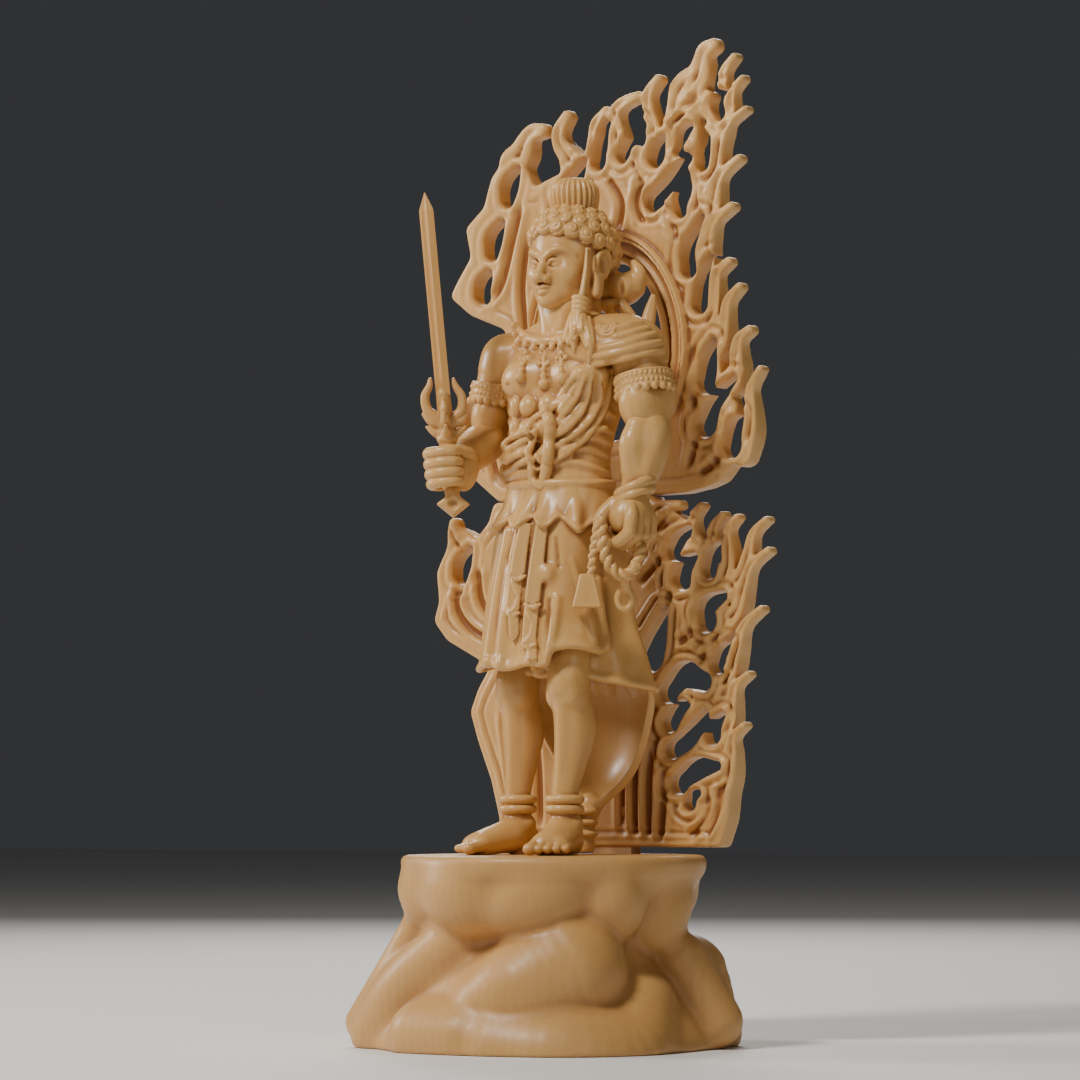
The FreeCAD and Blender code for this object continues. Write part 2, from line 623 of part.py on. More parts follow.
def sword_bore():
    item = DOC.addObject("Part::Cylinder", "fist_bore")
    bind(item, Radius="[grip_radius] + [peg_clearance]", Height="4 * [fist_radius]")
    return set_on_sword(item, "-2 * [fist_radius]")


# -------------------------------------------------------------------- rope
def rope(hand, wrist_pins):
    x, y = "[hand_x] - 4.4", "[hand_y] - 8"
    strand = limb("rope_strand", [
        ((f"{x} + 3", f"{y} + 5", level("[hand_level] + 1")), "[rope_radius]"),
        ((f"{x} + 0.5", y, level("[hand_level] - 6")), "[rope_radius]"),
        ((f"{x} - 1.5", f"{y} - 1", level("[hand_level] - 11")), "[rope_radius]"),
        ((f"{x} - 3", f"{y} - 1.8", level("[hand_level] - 15")), "[rope_radius]"),
    ])
    loop = limb("rope_loop", [
        ((f"{x} + 1", f"{y} + 1", level("[hand_level] - 7")), "[rope_radius]"),
        ((f"{x} + 3.5", f"{y} + 2.5", level("[hand_level] - 13")), "[rope_radius]"),
        ((f"{x} + 8", f"{y} + 6.5", level("[hand_level] - 15.5")), "[rope_radius]"),
        ((f"{x} + 9", f"{y} + 11", level("[hand_level] - 11")), "[rope_radius]"),
        ((f"{x} + 6", f"{y} + 10", level("[hand_level] - 4")), "[rope_radius]"),
    ])
    ring = DOC.addObject("Part::Torus", "rope_ring")
    bind(ring, Radius1="[rope_radius] + 0.4", Radius2="[rope_radius] / 2")
    ring.Placement.Rotation = Rotation(Vector(0, 0, 1), Vector(0.6, -0.8, 0))
    place(ring, f"{x} + 5", f"{y} + 4.6", level("[hand_level] - 18"))
    coil = fuse("rope_blank", strand, loop, ring)
    weight = weight_block(f"{x} - 3", f"{y} - 1.8", level("[hand_level] - 14.5"))
    node(cut("rope_carving", coil, hand, weight), "rope_lasso")
    node(cut("left_palm", hand, wrist_pins), "left_hand")


def weight_block(x, y, top):
    half_top, half_foot = "[weight_top_width] / 2", "[weight_width] / 2"
    item = DOC.addObject("Part::Wedge", "weight_blank")
    bind(item, Xmin=f"-{half_foot}", Xmax=half_foot, Zmin=f"-{half_foot}", Zmax=half_foot,
         Ymin="0", Ymax="[weight_height]", X2min=f"-{half_top}", X2max=half_top,
         Z2min=f"-{half_top}", Z2max=half_top)
    item.Placement.Rotation = Rotation(Vector(0, 0, 1), 36) * Rotation(Vector(1, 0, 0), 90)
    place(item, x, y, f"{top} - [weight_height]")
    return node(item, "rope_weight")


# ----------------------------------------------------------------- aureole
BOARD_STRETCH_X = size("[aureole_width]") / DRAWN_WIDTH
BOARD_STRETCH_Z = size("[aureole_height]") / DRAWN_HEIGHT


def board_point(x, height):
    """A drawn point on the front plane of the aureole."""
    joint = size("[board_joint_level]")
    lowest = size("[board_gap]")
    if height < DRAWN_JOINT:
        share = (height - lowest) / (DRAWN_JOINT - lowest)
        height = lowest + (joint - lowest) * share
    else:
        top = DRAWN_HEIGHT * BOARD_STRETCH_Z
        share = (height - DRAWN_JOINT) / (DRAWN_HEIGHT - DRAWN_JOINT)
        height = joint + (top - joint) * share
    return Vector(x * BOARD_STRETCH_X, size("[aureole_front_y]"),
                  size("[pedestal_height]") + height)


def tongue_face(root, bend, tip, root_half, bend_half, tip_half):
    """A flame tongue, or a teardrop hole: a curved strip with round ends."""
    spots = [board_point(*spot) for spot in (root, bend, tip)]
    headings = [(spots[1] - spots[0]).normalize(), (spots[2] - spots[0]).normalize(),
                (spots[2] - spots[1]).normalize()]
    halves = (root_half, bend_half, tip_half)
    left, right = [], []
    for spot, heading, half in zip(spots, headings, halves):
        across = Vector(-heading.z, 0, heading.x) * half
        left.append(spot + across)
        right.append(spot - across)
    sides = []
    for side in (left, right[::-1]):
        curve = Part.BSplineCurve()
        curve.interpolate(side)
        sides.append(curve.toShape())
    top_cap = Part.Arc(left[2], spots[2] + headings[2] * tip_half, right[2]).toShape()
    root_cap = Part.Arc(right[0], spots[0] - headings[0] * root_half, left[0]).toShape()
    return Part.Face(Part.Wire([sides[0], top_cap, sides[1], root_cap]))


def board(name, sheet, tongues, holes, extra_cuts):
    corners = [board_point(*corner) for corner in sheet]
    outline = Part.Face(Part.makePolygon(corners + corners[:1]))
    flame = outline.multiFuse([tongue_face(*row) for row in tongues]).removeSplitter()
    pierced = flame.cut([tongue_face(*row) for row in holes])
    drawing = DOC.addObject("Part::Feature", f"{name}_drawing")
    if len(pierced.Faces) != 1:
        raise RuntimeError(f"{name} is drawn in {len(pierced.Faces)} separate pieces")
    drawing.Shape = pierced.Faces[0]
    plank = DOC.addObject("Part::Extrusion", f"{name}_plank")
    plank.Base = drawing
    plank.DirMode = "Custom"
    plank.Dir = Vector(0, 1, 0)
    plank.Solid = True
    bind(plank, LengthFwd="[board_thickness]")
    node(cut(f"{name}_board", plank, *extra_cuts), name)


def aureole():
    middle_y = "[aureole_front_y] + [board_thickness] / 2"
    tenon = body_of("tenon_body")
    half = "[tenon_width] / 2"
    thin = "[tenon_thickness] / 2"
    section = polygon_sketch(tenon, "tenon_section", "XY_Plane", [[
        (half, thin), (f"-{half}", thin), (f"-{half}", f"-{thin}"), (half, f"-{thin}"),
    ]])
    bar = tenon.newObject("PartDesign::Pad", "tenon_length")
    bar.Profile = section
    bind(bar, Length="[tenon_depth] + [board_gap] + [tenon_grip]")
    tenon.Tip = bar
    place(tenon, "0", middle_y, level("-[tenon_depth]"))
    node(tenon, "aureole_tenon")

    dowels = []
    for index, sign in enumerate(("-1", "0.25")):
        dowels.append(rod(f"board_dowel{index}",
                          (f"{sign} * [board_dowel_spacing]", middle_y,
                           level("[board_joint_level] - [board_dowel_reach]")),
                          "[board_dowel_radius]", "2 * [board_dowel_reach]"))
    pins = node(fuse("board_dowel_pair", *dowels), "aureole_dowels")

    window = DOC.addObject("Part::Ellipse", "window_outline")
    tall = size("[window_half_height]") >= size("[window_half_width]")
    major, minor = "[window_half_height]", "[window_half_width]"
    if not tall:
        major, minor = minor, major
    bind(window, MajorRadius=major, MinorRadius=minor)
    turn = Rotation(Vector(1, 0, 0), 90) * Rotation(Vector(0, 0, 1), 90 if tall else 0)
    window.Placement.Rotation = turn
    place(window, "0", "[aureole_front_y] - 1", level("[window_level]"))
    opening = DOC.addObject("Part::Extrusion", "window_opening")
    opening.Base = window
    opening.DirMode = "Custom"
    opening.Dir = Vector(0, 1, 0)
    opening.Solid = True
    bind(opening, LengthFwd="[board_thickness] + 2")
    board("aureole_upper", UPPER_SHEET, UPPER_TONGUES, UPPER_HOLES, [opening, pins])
    board("aureole_lower", LOWER_SHEET, LOWER_TONGUES, LOWER_HOLES, [tenon, pins])


# ------------------------------------------------------------- put together
rock_pedestal()
peg_pair = foot_pegs()
leg_pins = leg_dowels()
legs(peg_pair, leg_pins)
belly_pin = upright_dowel("waist_dowel", "0", "[waist_centre_y]", level("[waist_level]"))
skirt(leg_pins, belly_pin)
rear_drape()
arm_pins = shoulder_dowels()
neck_pin = upright_dowel("neck_dowel", "[axis_x]", "[chest_centre_y] + 0.5", level("[neck_level]"))
trunk = torso(belly_pin, arm_pins, neck_pin)
hand_pins = wrist_dowels()
pommel_blank = sword()
right_palm = right_arm(trunk, arm_pins, hand_pins, sword_bore())
node(cut("pommel_seat", pommel_blank, right_palm), "sword_pommel")
left_palm = left_arm(trunk, arm_pins, hand_pins)
rope(left_palm, hand_pins)
head_and_hair(trunk, neck_pin)
aureole()
DOC.recompute()

# ------------------------------------------------------------ check and write
for item in DOC.Objects:
    if "Invalid" in item.State or "Error" in item.State:
        raise RuntimeError(f"{item.Name} ({item.Label}) did not build: {item.State}")
for piece in PIECES:
    if piece.Shape.isNull() or not piece.Shape.isValid():
        raise RuntimeError(f"{piece.Label} has no valid shape")

os.makedirs("parts", exist_ok=True)
for piece in PIECES:
    piece.Shape.exportStep(f"parts/{piece.Label}.step")
    print(piece.Label, len(piece.Shape.Solids), "solid(s)", round(piece.Shape.Volume), "mm3")
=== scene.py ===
import math

import bpy
import numpy as np
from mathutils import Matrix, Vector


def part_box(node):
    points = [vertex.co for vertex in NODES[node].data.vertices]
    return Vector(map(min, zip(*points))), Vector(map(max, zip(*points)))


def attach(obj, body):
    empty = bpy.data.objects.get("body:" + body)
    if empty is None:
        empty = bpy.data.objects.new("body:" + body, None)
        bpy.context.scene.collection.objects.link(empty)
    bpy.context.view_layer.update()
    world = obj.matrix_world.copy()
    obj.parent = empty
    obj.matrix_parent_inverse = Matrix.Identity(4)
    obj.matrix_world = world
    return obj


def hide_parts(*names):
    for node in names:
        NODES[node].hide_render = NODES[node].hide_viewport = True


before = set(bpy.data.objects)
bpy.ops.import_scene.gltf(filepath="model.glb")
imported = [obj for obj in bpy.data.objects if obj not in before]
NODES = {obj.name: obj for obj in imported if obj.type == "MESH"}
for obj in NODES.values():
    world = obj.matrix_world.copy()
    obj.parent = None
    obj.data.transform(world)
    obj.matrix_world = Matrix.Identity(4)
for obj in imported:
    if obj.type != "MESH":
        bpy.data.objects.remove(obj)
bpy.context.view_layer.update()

import openvdb
from mathutils import Vector

# The carved figure, modelled as clay: each piece is a block of distances to its
# surface, in millimetres, that forms are added to and cut from.  The block is
# then turned into a mesh in metres, in the frame's own axes.

MM = 0.001


def edges(node):
    """The lowest and highest corner of a CAD node, in millimetres."""
    low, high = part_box(node)
    return np.array(low) / MM, np.array(high) / MM


SOLE = float(edges("rock_pedestal")[1][2])
BOARD_FRONT = float(edges("aureole_upper")[0][1])
BOARD_BACK = float(edges("aureole_upper")[1][1])
CROWN = float(edges("aureole_upper")[1][2]) - SOLE


# ------------------------------------------------------------------ the clay
def smooth_min(a, b, k):
    if k <= 0:
        return np.minimum(a, b)
    h = np.maximum(k - np.abs(a - b), 0) / k
    return np.minimum(a, b) - h * h * k / 4


def smooth_max(a, b, k):
    return -smooth_min(-a, -b, k)


def ramp(value, start, end):
    t = np.clip((value - start) / (end - start), 0, 1)
    return t * t * (3 - 2 * t)


def turn_of(yaw=0, pitch=0, roll=0):
    """A turn about Z, then X, then Y, in degrees, as a matrix that undoes it."""
    cz, sz = math.cos(math.radians(yaw)), math.sin(math.radians(yaw))
    cx, sx = math.cos(math.radians(pitch)), math.sin(math.radians(pitch))
    cy, sy = math.cos(math.radians(roll)), math.sin(math.radians(roll))
    about_z = np.array([[cz, -sz, 0], [sz, cz, 0], [0, 0, 1]])
    about_x = np.array([[1, 0, 0], [0, cx, -sx], [0, sx, cx]])
    about_y = np.array([[cy, 0, sy], [0, 1, 0], [-sy, 0, cy]])
    return (about_z @ about_x @ about_y).T


class Form:
    """A solid: the box that it fills and its distance at x, y, z."""

    def __init__(self, low, high, distance):
        self.low, self.high, self.distance = np.array(low, float), np.array(high, float), distance


def egg(spot, half, turn=None):
    """An ellipsoid with half sizes half, turned by the matrix turn."""
    half = np.array(half, float)
    reach = half if turn is None else np.full(3, half.max())
    spot = np.array(spot, float)

    def distance(x, y, z):
        p = [x - spot[0], y - spot[1], z - spot[2]]
        if turn is not None:
            p = [row[0] * p[0] + row[1] * p[1] + row[2] * p[2] for row in turn]
        near = np.sqrt(sum((c / h) ** 2 for c, h in zip(p, half)))
        slope = np.sqrt(sum((c / (h * h)) ** 2 for c, h in zip(p, half))) + 1e-6
        return near * (near - 1) / slope

    return Form(spot - reach, spot + reach, distance)


def bone(start, end, start_half, end_half, flat=None):
    """A round-ended taper; flat squashes it along that direction by flat[1]."""
    a, b = np.array(start, float), np.array(end, float)
    axis = b - a
    length = max(float(axis @ axis), 1e-6)
    most = max(start_half, end_half)

    def distance(x, y, z):
        p = [x - a[0], y - a[1], z - a[2]]
        t = np.clip(sum(c * v for c, v in zip(p, axis)) / length, 0, 1)
        away = [c - t * v for c, v in zip(p, axis)]
        if flat is not None:
            across, squash = flat
            along = sum(c * v for c, v in zip(away, across)) * (1 / squash - 1)
            away = [c + along * v for c, v in zip(away, across)]
        return np.sqrt(sum(c * c for c in away)) - (start_half + (end_half - start_half) * t)

    return Form(np.minimum(a, b) - most, np.maximum(a, b) + most, distance)


def curve_through(spots, count):
    """Points along a smooth curve through spots, with any extra columns."""
    spots = np.array(spots, float)
    first, last = 2 * spots[0] - spots[1], 2 * spots[-1] - spots[-2]
    ends = np.vstack([first, spots, last])
    out = []
    for i in range(1, len(ends) - 2):
        p0, p1, p2, p3 = ends[i - 1:i + 3]
        for t in np.arange(count) / count:
            out.append(0.5 * (2 * p1 + (p2 - p0) * t + (2 * p0 - 5 * p1 + 4 * p2 - p3) * t * t
                              + (3 * p1 - p0 - 3 * p2 + p3) * t ** 3))
    out.append(spots[-1])
    return np.array(out)


def strand(spots, flat=None, count=5):
    """A smooth strip through rows of x, y, z and half-width."""
    rows = curve_through(spots, count)
    bones = [bone(a[:3], b[:3], a[3], b[3], flat) for a, b in zip(rows, rows[1:])]
    low = np.min([f.low for f in bones], axis=0)
    high = np.max([f.high for f in bones], axis=0)

    def distance(x, y, z):
        best = bones[0].distance(x, y, z)
        for f in bones[1:]:
            best = np.minimum(best, f.distance(x, y, z))
        return best

    return Form(low, high, distance)


def ring(spot, half_x, half_y, thick, turn=None, tall=1.0):
    """An oval band about a vertical line; tall stretches its section upright."""
    reach = max(half_x, half_y) + thick * max(1, tall)
    spot = np.array(spot, float)

    def distance(x, y, z):
        p = [x - spot[0], y - spot[1], z - spot[2]]
        if turn is not None:
            p = [row[0] * p[0] + row[1] * p[1] + row[2] * p[2] for row in turn]
        level_out = np.sqrt(p[0] ** 2 + p[1] ** 2) + 1e-6
        share = np.sqrt((p[0] / half_x) ** 2 + (p[1] / half_y) ** 2) + 1e-6
        off = level_out * (1 - 1 / share)
        return np.sqrt(off * off + (p[2] / tall) ** 2) - thick

    return Form(spot - reach, spot + reach, distance)


def tower(levels, ripple=None, power=2.0):
    """A body through level ovals: rows of z, x, y, half-width and half-depth.
    ripple(bearing, z) pushes the surface out, in millimetres."""
    rows = curve_through(sorted(levels), 12)
    order = np.argsort(rows[:, 0])
    rows = rows[order]
    low_z, high_z = rows[0, 0], rows[-1, 0]
    wide = max(rows[:, 3].max(), rows[:, 4].max()) + 6
    middle = rows[:, 1:3].mean(axis=0)

    def distance(x, y, z):
        cx, cy, hx, hy = [np.interp(z, rows[:, 0], rows[:, c]) for c in range(1, 5)]
        px, py = x - cx, y - cy
        share = (np.abs(px / hx) ** power + np.abs(py / hy) ** power) ** (1 / power) + 1e-6
        flat_out = np.sqrt(px * px + py * py) + 1e-6
        gap = flat_out * (1 - 1 / share)
        gap = np.where(flat_out < 1e-3, -np.minimum(hx, hy), gap)
        if ripple is not None:
            gap = gap - ripple(np.degrees(np.arctan2(py, px)), z)
        slope = np.gradient(rows[:, 3], rows[:, 0])
        lean = np.interp(z, rows[:, 0], 1 / np.sqrt(1 + np.clip(slope, -2, 2) ** 2))
        return np.maximum(gap * lean, np.maximum(low_z - z, z - high_z))

    return Form((middle[0] - wide, middle[1] - wide, low_z),
                (middle[0] + wide, middle[1] + wide, high_z),
                distance)


class Clay:
    """A block of cells between two corners: each holds its distance to the surface."""
    FAR = 6.0

    def __init__(self, low, high, voxel):
        self.low, self.voxel = np.array(low, float), voxel
        counts = [int(math.ceil((h - l) / voxel)) + 1 for l, h in zip(low, high)]
        self.d = np.full(counts, self.FAR, np.float32)
        self.axes = [(l + voxel * np.arange(n)).astype(np.float32) for l, n in zip(low, counts)]

    def copied(self):
        """The clay as it is now, for strips that are laid on it later."""
        bare = Clay(self.low, self.low + 1, self.voxel)
        bare.d = self.d.copy()
        return bare

    def window(self, low, high, margin):
        cuts = []
        for axis, l, h, n in zip(self.axes, low, high, self.d.shape):
            first = int(np.floor((l - margin - axis[0]) / self.voxel))
            last = int(np.ceil((h + margin - axis[0]) / self.voxel)) + 1
            cuts.append(slice(max(0, min(first, n)), max(0, min(last, n))))
        x, y, z = [axis[c] for axis, c in zip(self.axes, cuts)]
        return tuple(cuts), x[:, None, None], y[None, :, None], z[None, None, :]

    def _mix(self, form, margin, mix):
        cuts, x, y, z = self.window(form.low, form.high, margin)
        if all(c.stop > c.start for c in cuts):
            self.d[cuts] = mix(self.d[cuts], form.distance(x, y, z).astype(np.float32))

    def add(self, form, k=0.0):
        self._mix(form, 3 + k, lambda old, new: smooth_min(old, new, k))

    def cut(self, form, k=0.0):
        self._mix(form, 2 + k, lambda old, new: smooth_max(old, -new, k))

    def keep_above(self, level_z, k=0.0):
        self.d = smooth_max(self.d, level_z - self.axes[2][None, None, :], k)

    def keep_below(self, level_z, k=0.0):
        self.d = smooth_max(self.d, self.axes[2][None, None, :] - level_z, k)


def box_blur(block, reach):
    """A running mean over 2 * reach + 1 cells along each axis."""
    width = 2 * reach + 1
    for axis in range(3):
        padded = np.pad(block, [(reach + 1, reach) if a == axis else (0, 0) for a in range(3)],
                        mode="edge")
        total = np.cumsum(padded, axis=axis, dtype=np.float64)
        upper = np.take(total, np.arange(width, total.shape[axis]), axis=axis)
        lower = np.take(total, np.arange(0, total.shape[axis] - width), axis=axis)
        block = ((upper - lower) / width).astype(np.float32)
    return block


def sample(block, spots):
    """Values of a block at fractional cell positions."""
    base = np.clip(np.floor(spots).astype(int), 0, np.array(block.shape) - 2)
    part = spots - base
    out = np.zeros(len(spots), np.float32)
    for i in (0, 1):
        for j in (0, 1):
            for k in (0, 1):
                weight = (abs(1 - i - part[:, 0]) * abs(1 - j - part[:, 1])
                          * abs(1 - k - part[:, 2]))
                out += weight * block[base[:, 0] + i, base[:, 1] + j, base[:, 2] + k]
    return out


# Reaches and weights of the hollow measure, which paints shade into hollows and creases and painted
# light onto convex edges.
PAINTED_SHADE_REACHES = ((1.1, 0.65), (3.2, 0.45))


def carve(name, clay, body, replaced, material, turn=None):
    """Turns clay into a mesh piece that rides on a body and stands for CAD nodes.
    turn is a centre and a yaw in degrees that the finished piece is given."""
    band = 3 * clay.voxel
    shell = np.clip(clay.d, -band, band)
    grid = openvdb.FloatGrid(band)
    grid.copyFromArray(shell)
    cells, quads = grid.convertToQuads(0)
    spots = cells * clay.voxel + clay.low
    if turn is not None:
        centre, yaw = turn
        c, r = math.cos(math.radians(yaw)), math.sin(math.radians(yaw))
        spots = (spots - centre) @ np.array([[c, r, 0], [-r, c, 0], [0, 0, 1]]) + centre
    spots = spots * MM
    mesh = bpy.data.meshes.new(name)
    mesh.vertices.add(len(spots))
    mesh.vertices.foreach_set("co", spots.astype(np.float32).ravel())
    mesh.loops.add(quads.size)
    mesh.loops.foreach_set("vertex_index", quads.astype(np.int32).ravel())
    mesh.polygons.add(len(quads))
    mesh.polygons.foreach_set("loop_start", np.arange(0, quads.size, 4, dtype=np.int32))
    mesh.polygons.foreach_set("use_smooth", np.ones(len(quads), bool))
    mesh.update(calc_edges=True)
    # Painted shade: how far the clay round each point is filled, from blurred distances, stored as
    # the hollow attribute that darkens hollows and lightens convex edges in the wood's colour.
    hollow = np.zeros(len(cells), np.float32)
    for reach, weight in PAINTED_SHADE_REACHES:
        steps = max(1, int(round(reach / clay.voxel)))
        limit = reach * 1.2
        mean = box_blur(np.clip(clay.d, -limit, limit), steps)
        hollow -= weight * sample(mean, cells) / (0.5 * reach)
    shade = mesh.attributes.new("hollow", "FLOAT", "POINT")
    shade.data.foreach_set("value", hollow)
    show(name, mesh, body, replaced, material)


def show(name, mesh, body, replaced, material):
    """Hangs a finished mesh on a body in place of the CAD nodes replaced."""
    piece = bpy.data.objects.new(name, mesh)
    bpy.context.scene.collection.objects.link(piece)
    mesh.materials.append(material)
    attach(piece, body)
    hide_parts(*replaced)


# -------------------------------------------------------------- the materials
def boxwood(name, light, dark, deep, roughness, figure=1.0):
    """Pale boxwood: upright grain, soft growth bands and fine pores, with a satin oiled surface;
    painted shade darkens its hollows and creases and a painted highlight lightens its convex edges."""
    material = bpy.data.materials.new(name)
    material.use_nodes = True
    tree = material.node_tree
    nodes, link = tree.nodes, tree.links.new
    shader = nodes["Principled BSDF"]

    def make(kind, **values):
        item = nodes.new(kind)
        for key, value in values.items():
            if key in item.inputs:
                item.inputs[key].default_value = value
            else:
                setattr(item, key, value)
        return item

    place = nodes.new("ShaderNodeTexCoord").outputs["Object"]

    def stretched(x, y, z):
        item = make("ShaderNodeMapping")
        item.inputs["Scale"].default_value = (x, y, z)
        link(place, item.inputs["Vector"])
        return item.outputs["Vector"]

    def noise(where, scale, detail=3.0):
        item = make("ShaderNodeTexNoise", Scale=scale, Detail=detail)
        link(where, item.inputs["Vector"])
        return item.outputs["Fac"]

    def span(value, low, high, to_low=0.0, to_high=1.0):
        item = make("ShaderNodeMapRange")
        for key, number in (("From Min", low), ("From Max", high), ("To Min", to_low),
                            ("To Max", to_high)):
            item.inputs[key].default_value = number
        link(value, item.inputs["Value"])
        return item.outputs["Result"]

    def blend(factor, first, second, mode="MIX"):
        item = make("ShaderNodeMix", data_type="RGBA", blend_type=mode)
        for socket, value in ((item.inputs[0], factor), (item.inputs[6], first),
                              (item.inputs[7], second)):
            if isinstance(value, (float, tuple)):
                socket.default_value = value
            else:
                link(value, socket)
        return item.outputs[2]

    fibres = noise(stretched(900, 900, 22), 1)
    bands = make("ShaderNodeTexWave", Scale=1.0, Distortion=1.6, Detail=2.0)
    bands.inputs["Detail Scale"].default_value = 0.6
    link(stretched(115, 60, 1.2), bands.inputs["Vector"])
    pores = noise(stretched(2600, 2600, 180), 1, 1)
    patches = noise(stretched(28, 28, 9), 1)
    ground = blend(span(patches, 0.3, 0.7), light, dark)
    grained = blend(span(bands.outputs["Fac"], 0.1, 0.95, 0, 0.34 * figure), ground, dark)
    fibred = blend(span(fibres, 0.35, 0.72, 0, 0.3 * figure), grained, dark)
    pored = blend(span(pores, 0.62, 0.75, 0, 0.18), fibred, deep)
    hollow = make("ShaderNodeAttribute", attribute_name="hollow").outputs["Fac"]
    # Painted shade: colour darkened towards the deep tone in hollows and creases, where shade
    # falls.
    shaded = blend(span(hollow, 0, 0.5, 0, 0.95), pored, deep)
    # Painted highlight: colour lightened on convex edges, as if they caught more light.
    painted_edge_highlight = blend(span(hollow, -0.1, -0.5, 0, 0.4), shaded, light)
    link(painted_edge_highlight, shader.inputs["Base Color"])
    link(span(fibres, 0.3, 0.7, roughness - 0.05, roughness + 0.06), shader.inputs["Roughness"])
    shader.inputs["Subsurface Weight"].default_value = 0.08
    shader.inputs["Subsurface Radius"].default_value = (1, 0.45, 0.2)
    shader.inputs["Subsurface Scale"].default_value = 0.0015
    shader.inputs["Specular IOR Level"].default_value = 0.42
    shader.inputs["Coat Weight"].default_value = 0.08
    shader.inputs["Coat Roughness"].default_value = 0.3
    bump = make("ShaderNodeBump", Strength=0.12, Distance=0.00015)
    link(fibres, bump.inputs["Height"])
    link(bump.outputs["Normal"], shader.inputs["Normal"])
    return material


LIGHT = (0.69, 0.405, 0.15, 1)
DARK = (0.52, 0.265, 0.075, 1)
DEEP = (0.25, 0.08, 0.014, 1)
# Painted shade: the pedestal uses a darker copy of the figure's boxwood, for the shade that falls
# low on the carving.
SHADED_ROCK_WOOD = boxwood("rock_boxwood_painted_shade", (0.66, 0.385, 0.145, 1), (0.52, 0.275, 0.085, 1), DEEP, 0.46,
                    0.7)
FIGURE_WOOD = boxwood("figure_boxwood", (0.70, 0.42, 0.15, 1), (0.56, 0.295, 0.085, 1), DEEP, 0.34)
# Painted light: the flame boards use a lighter copy of the figure's boxwood, to make up for the
# figure's shadow on them.
LIT_FLAME_WOOD = boxwood("flame_boxwood_painted_light", (0.74, 0.45, 0.17, 1), (0.6, 0.33, 0.105, 1), DEEP, 0.42)
SWORD_WOOD = boxwood("sword_boxwood", LIGHT, DARK, DEEP, 0.4)
DOWEL_WOOD = boxwood("dowel_boxwood", DARK, (0.6, 0.38, 0.18, 1), DEEP, 0.6)


# --------------------------------------------------------------- the pedestal
def at_bearing(bearing, out, z):
    a = math.radians(bearing)
    return np.array([out * math.cos(a), out * math.sin(a), z])


def boulder(bearing, out, z, across, deep, tall, roll=0.0):
    """A rounded rock that faces outwards at a bearing round the pedestal."""
    return egg(at_bearing(bearing, out, z), (across, deep, tall),
               turn_of(yaw=bearing + 90, roll=roll))


UPPER_ROCKS = [  # bearing, out, height, half across, half deep, half tall, roll
    (-99, 30, 46, 17.5, 15.5, 14, 12), (-60, 25.5, 44.5, 19, 19.5, 14.5, -12),
    (-24, 31, 46, 12.5, 14.5, 15.5, -12), (12, 31.5, 43.5, 12, 13.5, 17, 8),
    (48, 30, 46, 14, 15, 13, -8), (84, 31, 45, 13.5, 14.5, 15, 8),
    (122, 30, 46, 15, 15, 13, -6), (160, 30, 45, 14.5, 15.5, 15, 10), (200, 30, 46, 15.5, 15.5,
            13.5, -8),
    (234, 31, 46, 12, 14, 14.5, 4),
]
# Ridges of rock below them: rows of bearing, distance out, height and half-width.
LOWER_ROCKS = [
    [(-44, 31, 23, 17), (-64, 34.5, 18, 14.5), (-80, 37, 13, 11)], [(-40, 28, 36, 9),
            (-44, 31, 24, 15)],
    [(-74, 41, 1, 12.5), (-48, 43, -1, 13.5), (-22, 42, 1, 12), (-5, 37, 15, 8)],
    [(18, 41, 26, 7.5), (22, 50, 8, 8)], [(-109, 33, 31, 8), (-127, 42, 18, 9), (-139, 48, 5, 10)],
    [(-135, 39, 34, 5), (-141, 48, 18, 5), (-147, 54, 7, 5.5)], [(-106, 46, 5, 9.5),
            (-88, 45, 5, 8.5)],
    [(36, 40, 20, 13), (40, 48, 4, 9)], [(64, 36, 28, 10), (58, 44, 10, 12)],
    [(80, 44, 6, 12), (104, 44, 6, 12)], [(92, 34, 24, 13), (112, 35, 20, 13)],
    [(134, 40, 27, 8), (128, 48, 8, 9)], [(150, 36, 22, 13), (146, 45, 6, 12)],
    [(176, 37, 24, 12), (188, 44, 8, 12)], [(205, 40, 27, 8), (196, 49, 7, 8)],
]


def pedestal():
    clay = Clay((-62, -62, -3), (62, 62, SOLE + 3), 0.75)
    clay.add(tower([(-3, -0.8, -0.6, 51, 51), (4, -0.8, -0.6, 50, 50), (18, -0.4, -0.3, 41, 41),
                    (29, 0, 0, 34, 34), (38, 0.6, 0.4, 36, 36), (48, 1.2, 0.9, 42.5, 42.5), (52,
                            1.3, 1, 44.6, 44.6), (SOLE + 3, 1.3, 1, 45, 45)]))
    for row in UPPER_ROCKS:
        clay.add(boulder(*row), 2.6)
    for rows in LOWER_ROCKS:
        spots = [(*at_bearing(b, out, z), half) for b, out, z, half in rows]
        clay.add(strand(spots), 3.6)
    clay.keep_below(SOLE, 2.6)
    clay.keep_above(0, 0.8)
    carve("rock", clay, "pedestal", ["rock_pedestal"], SHADED_ROCK_WOOD)


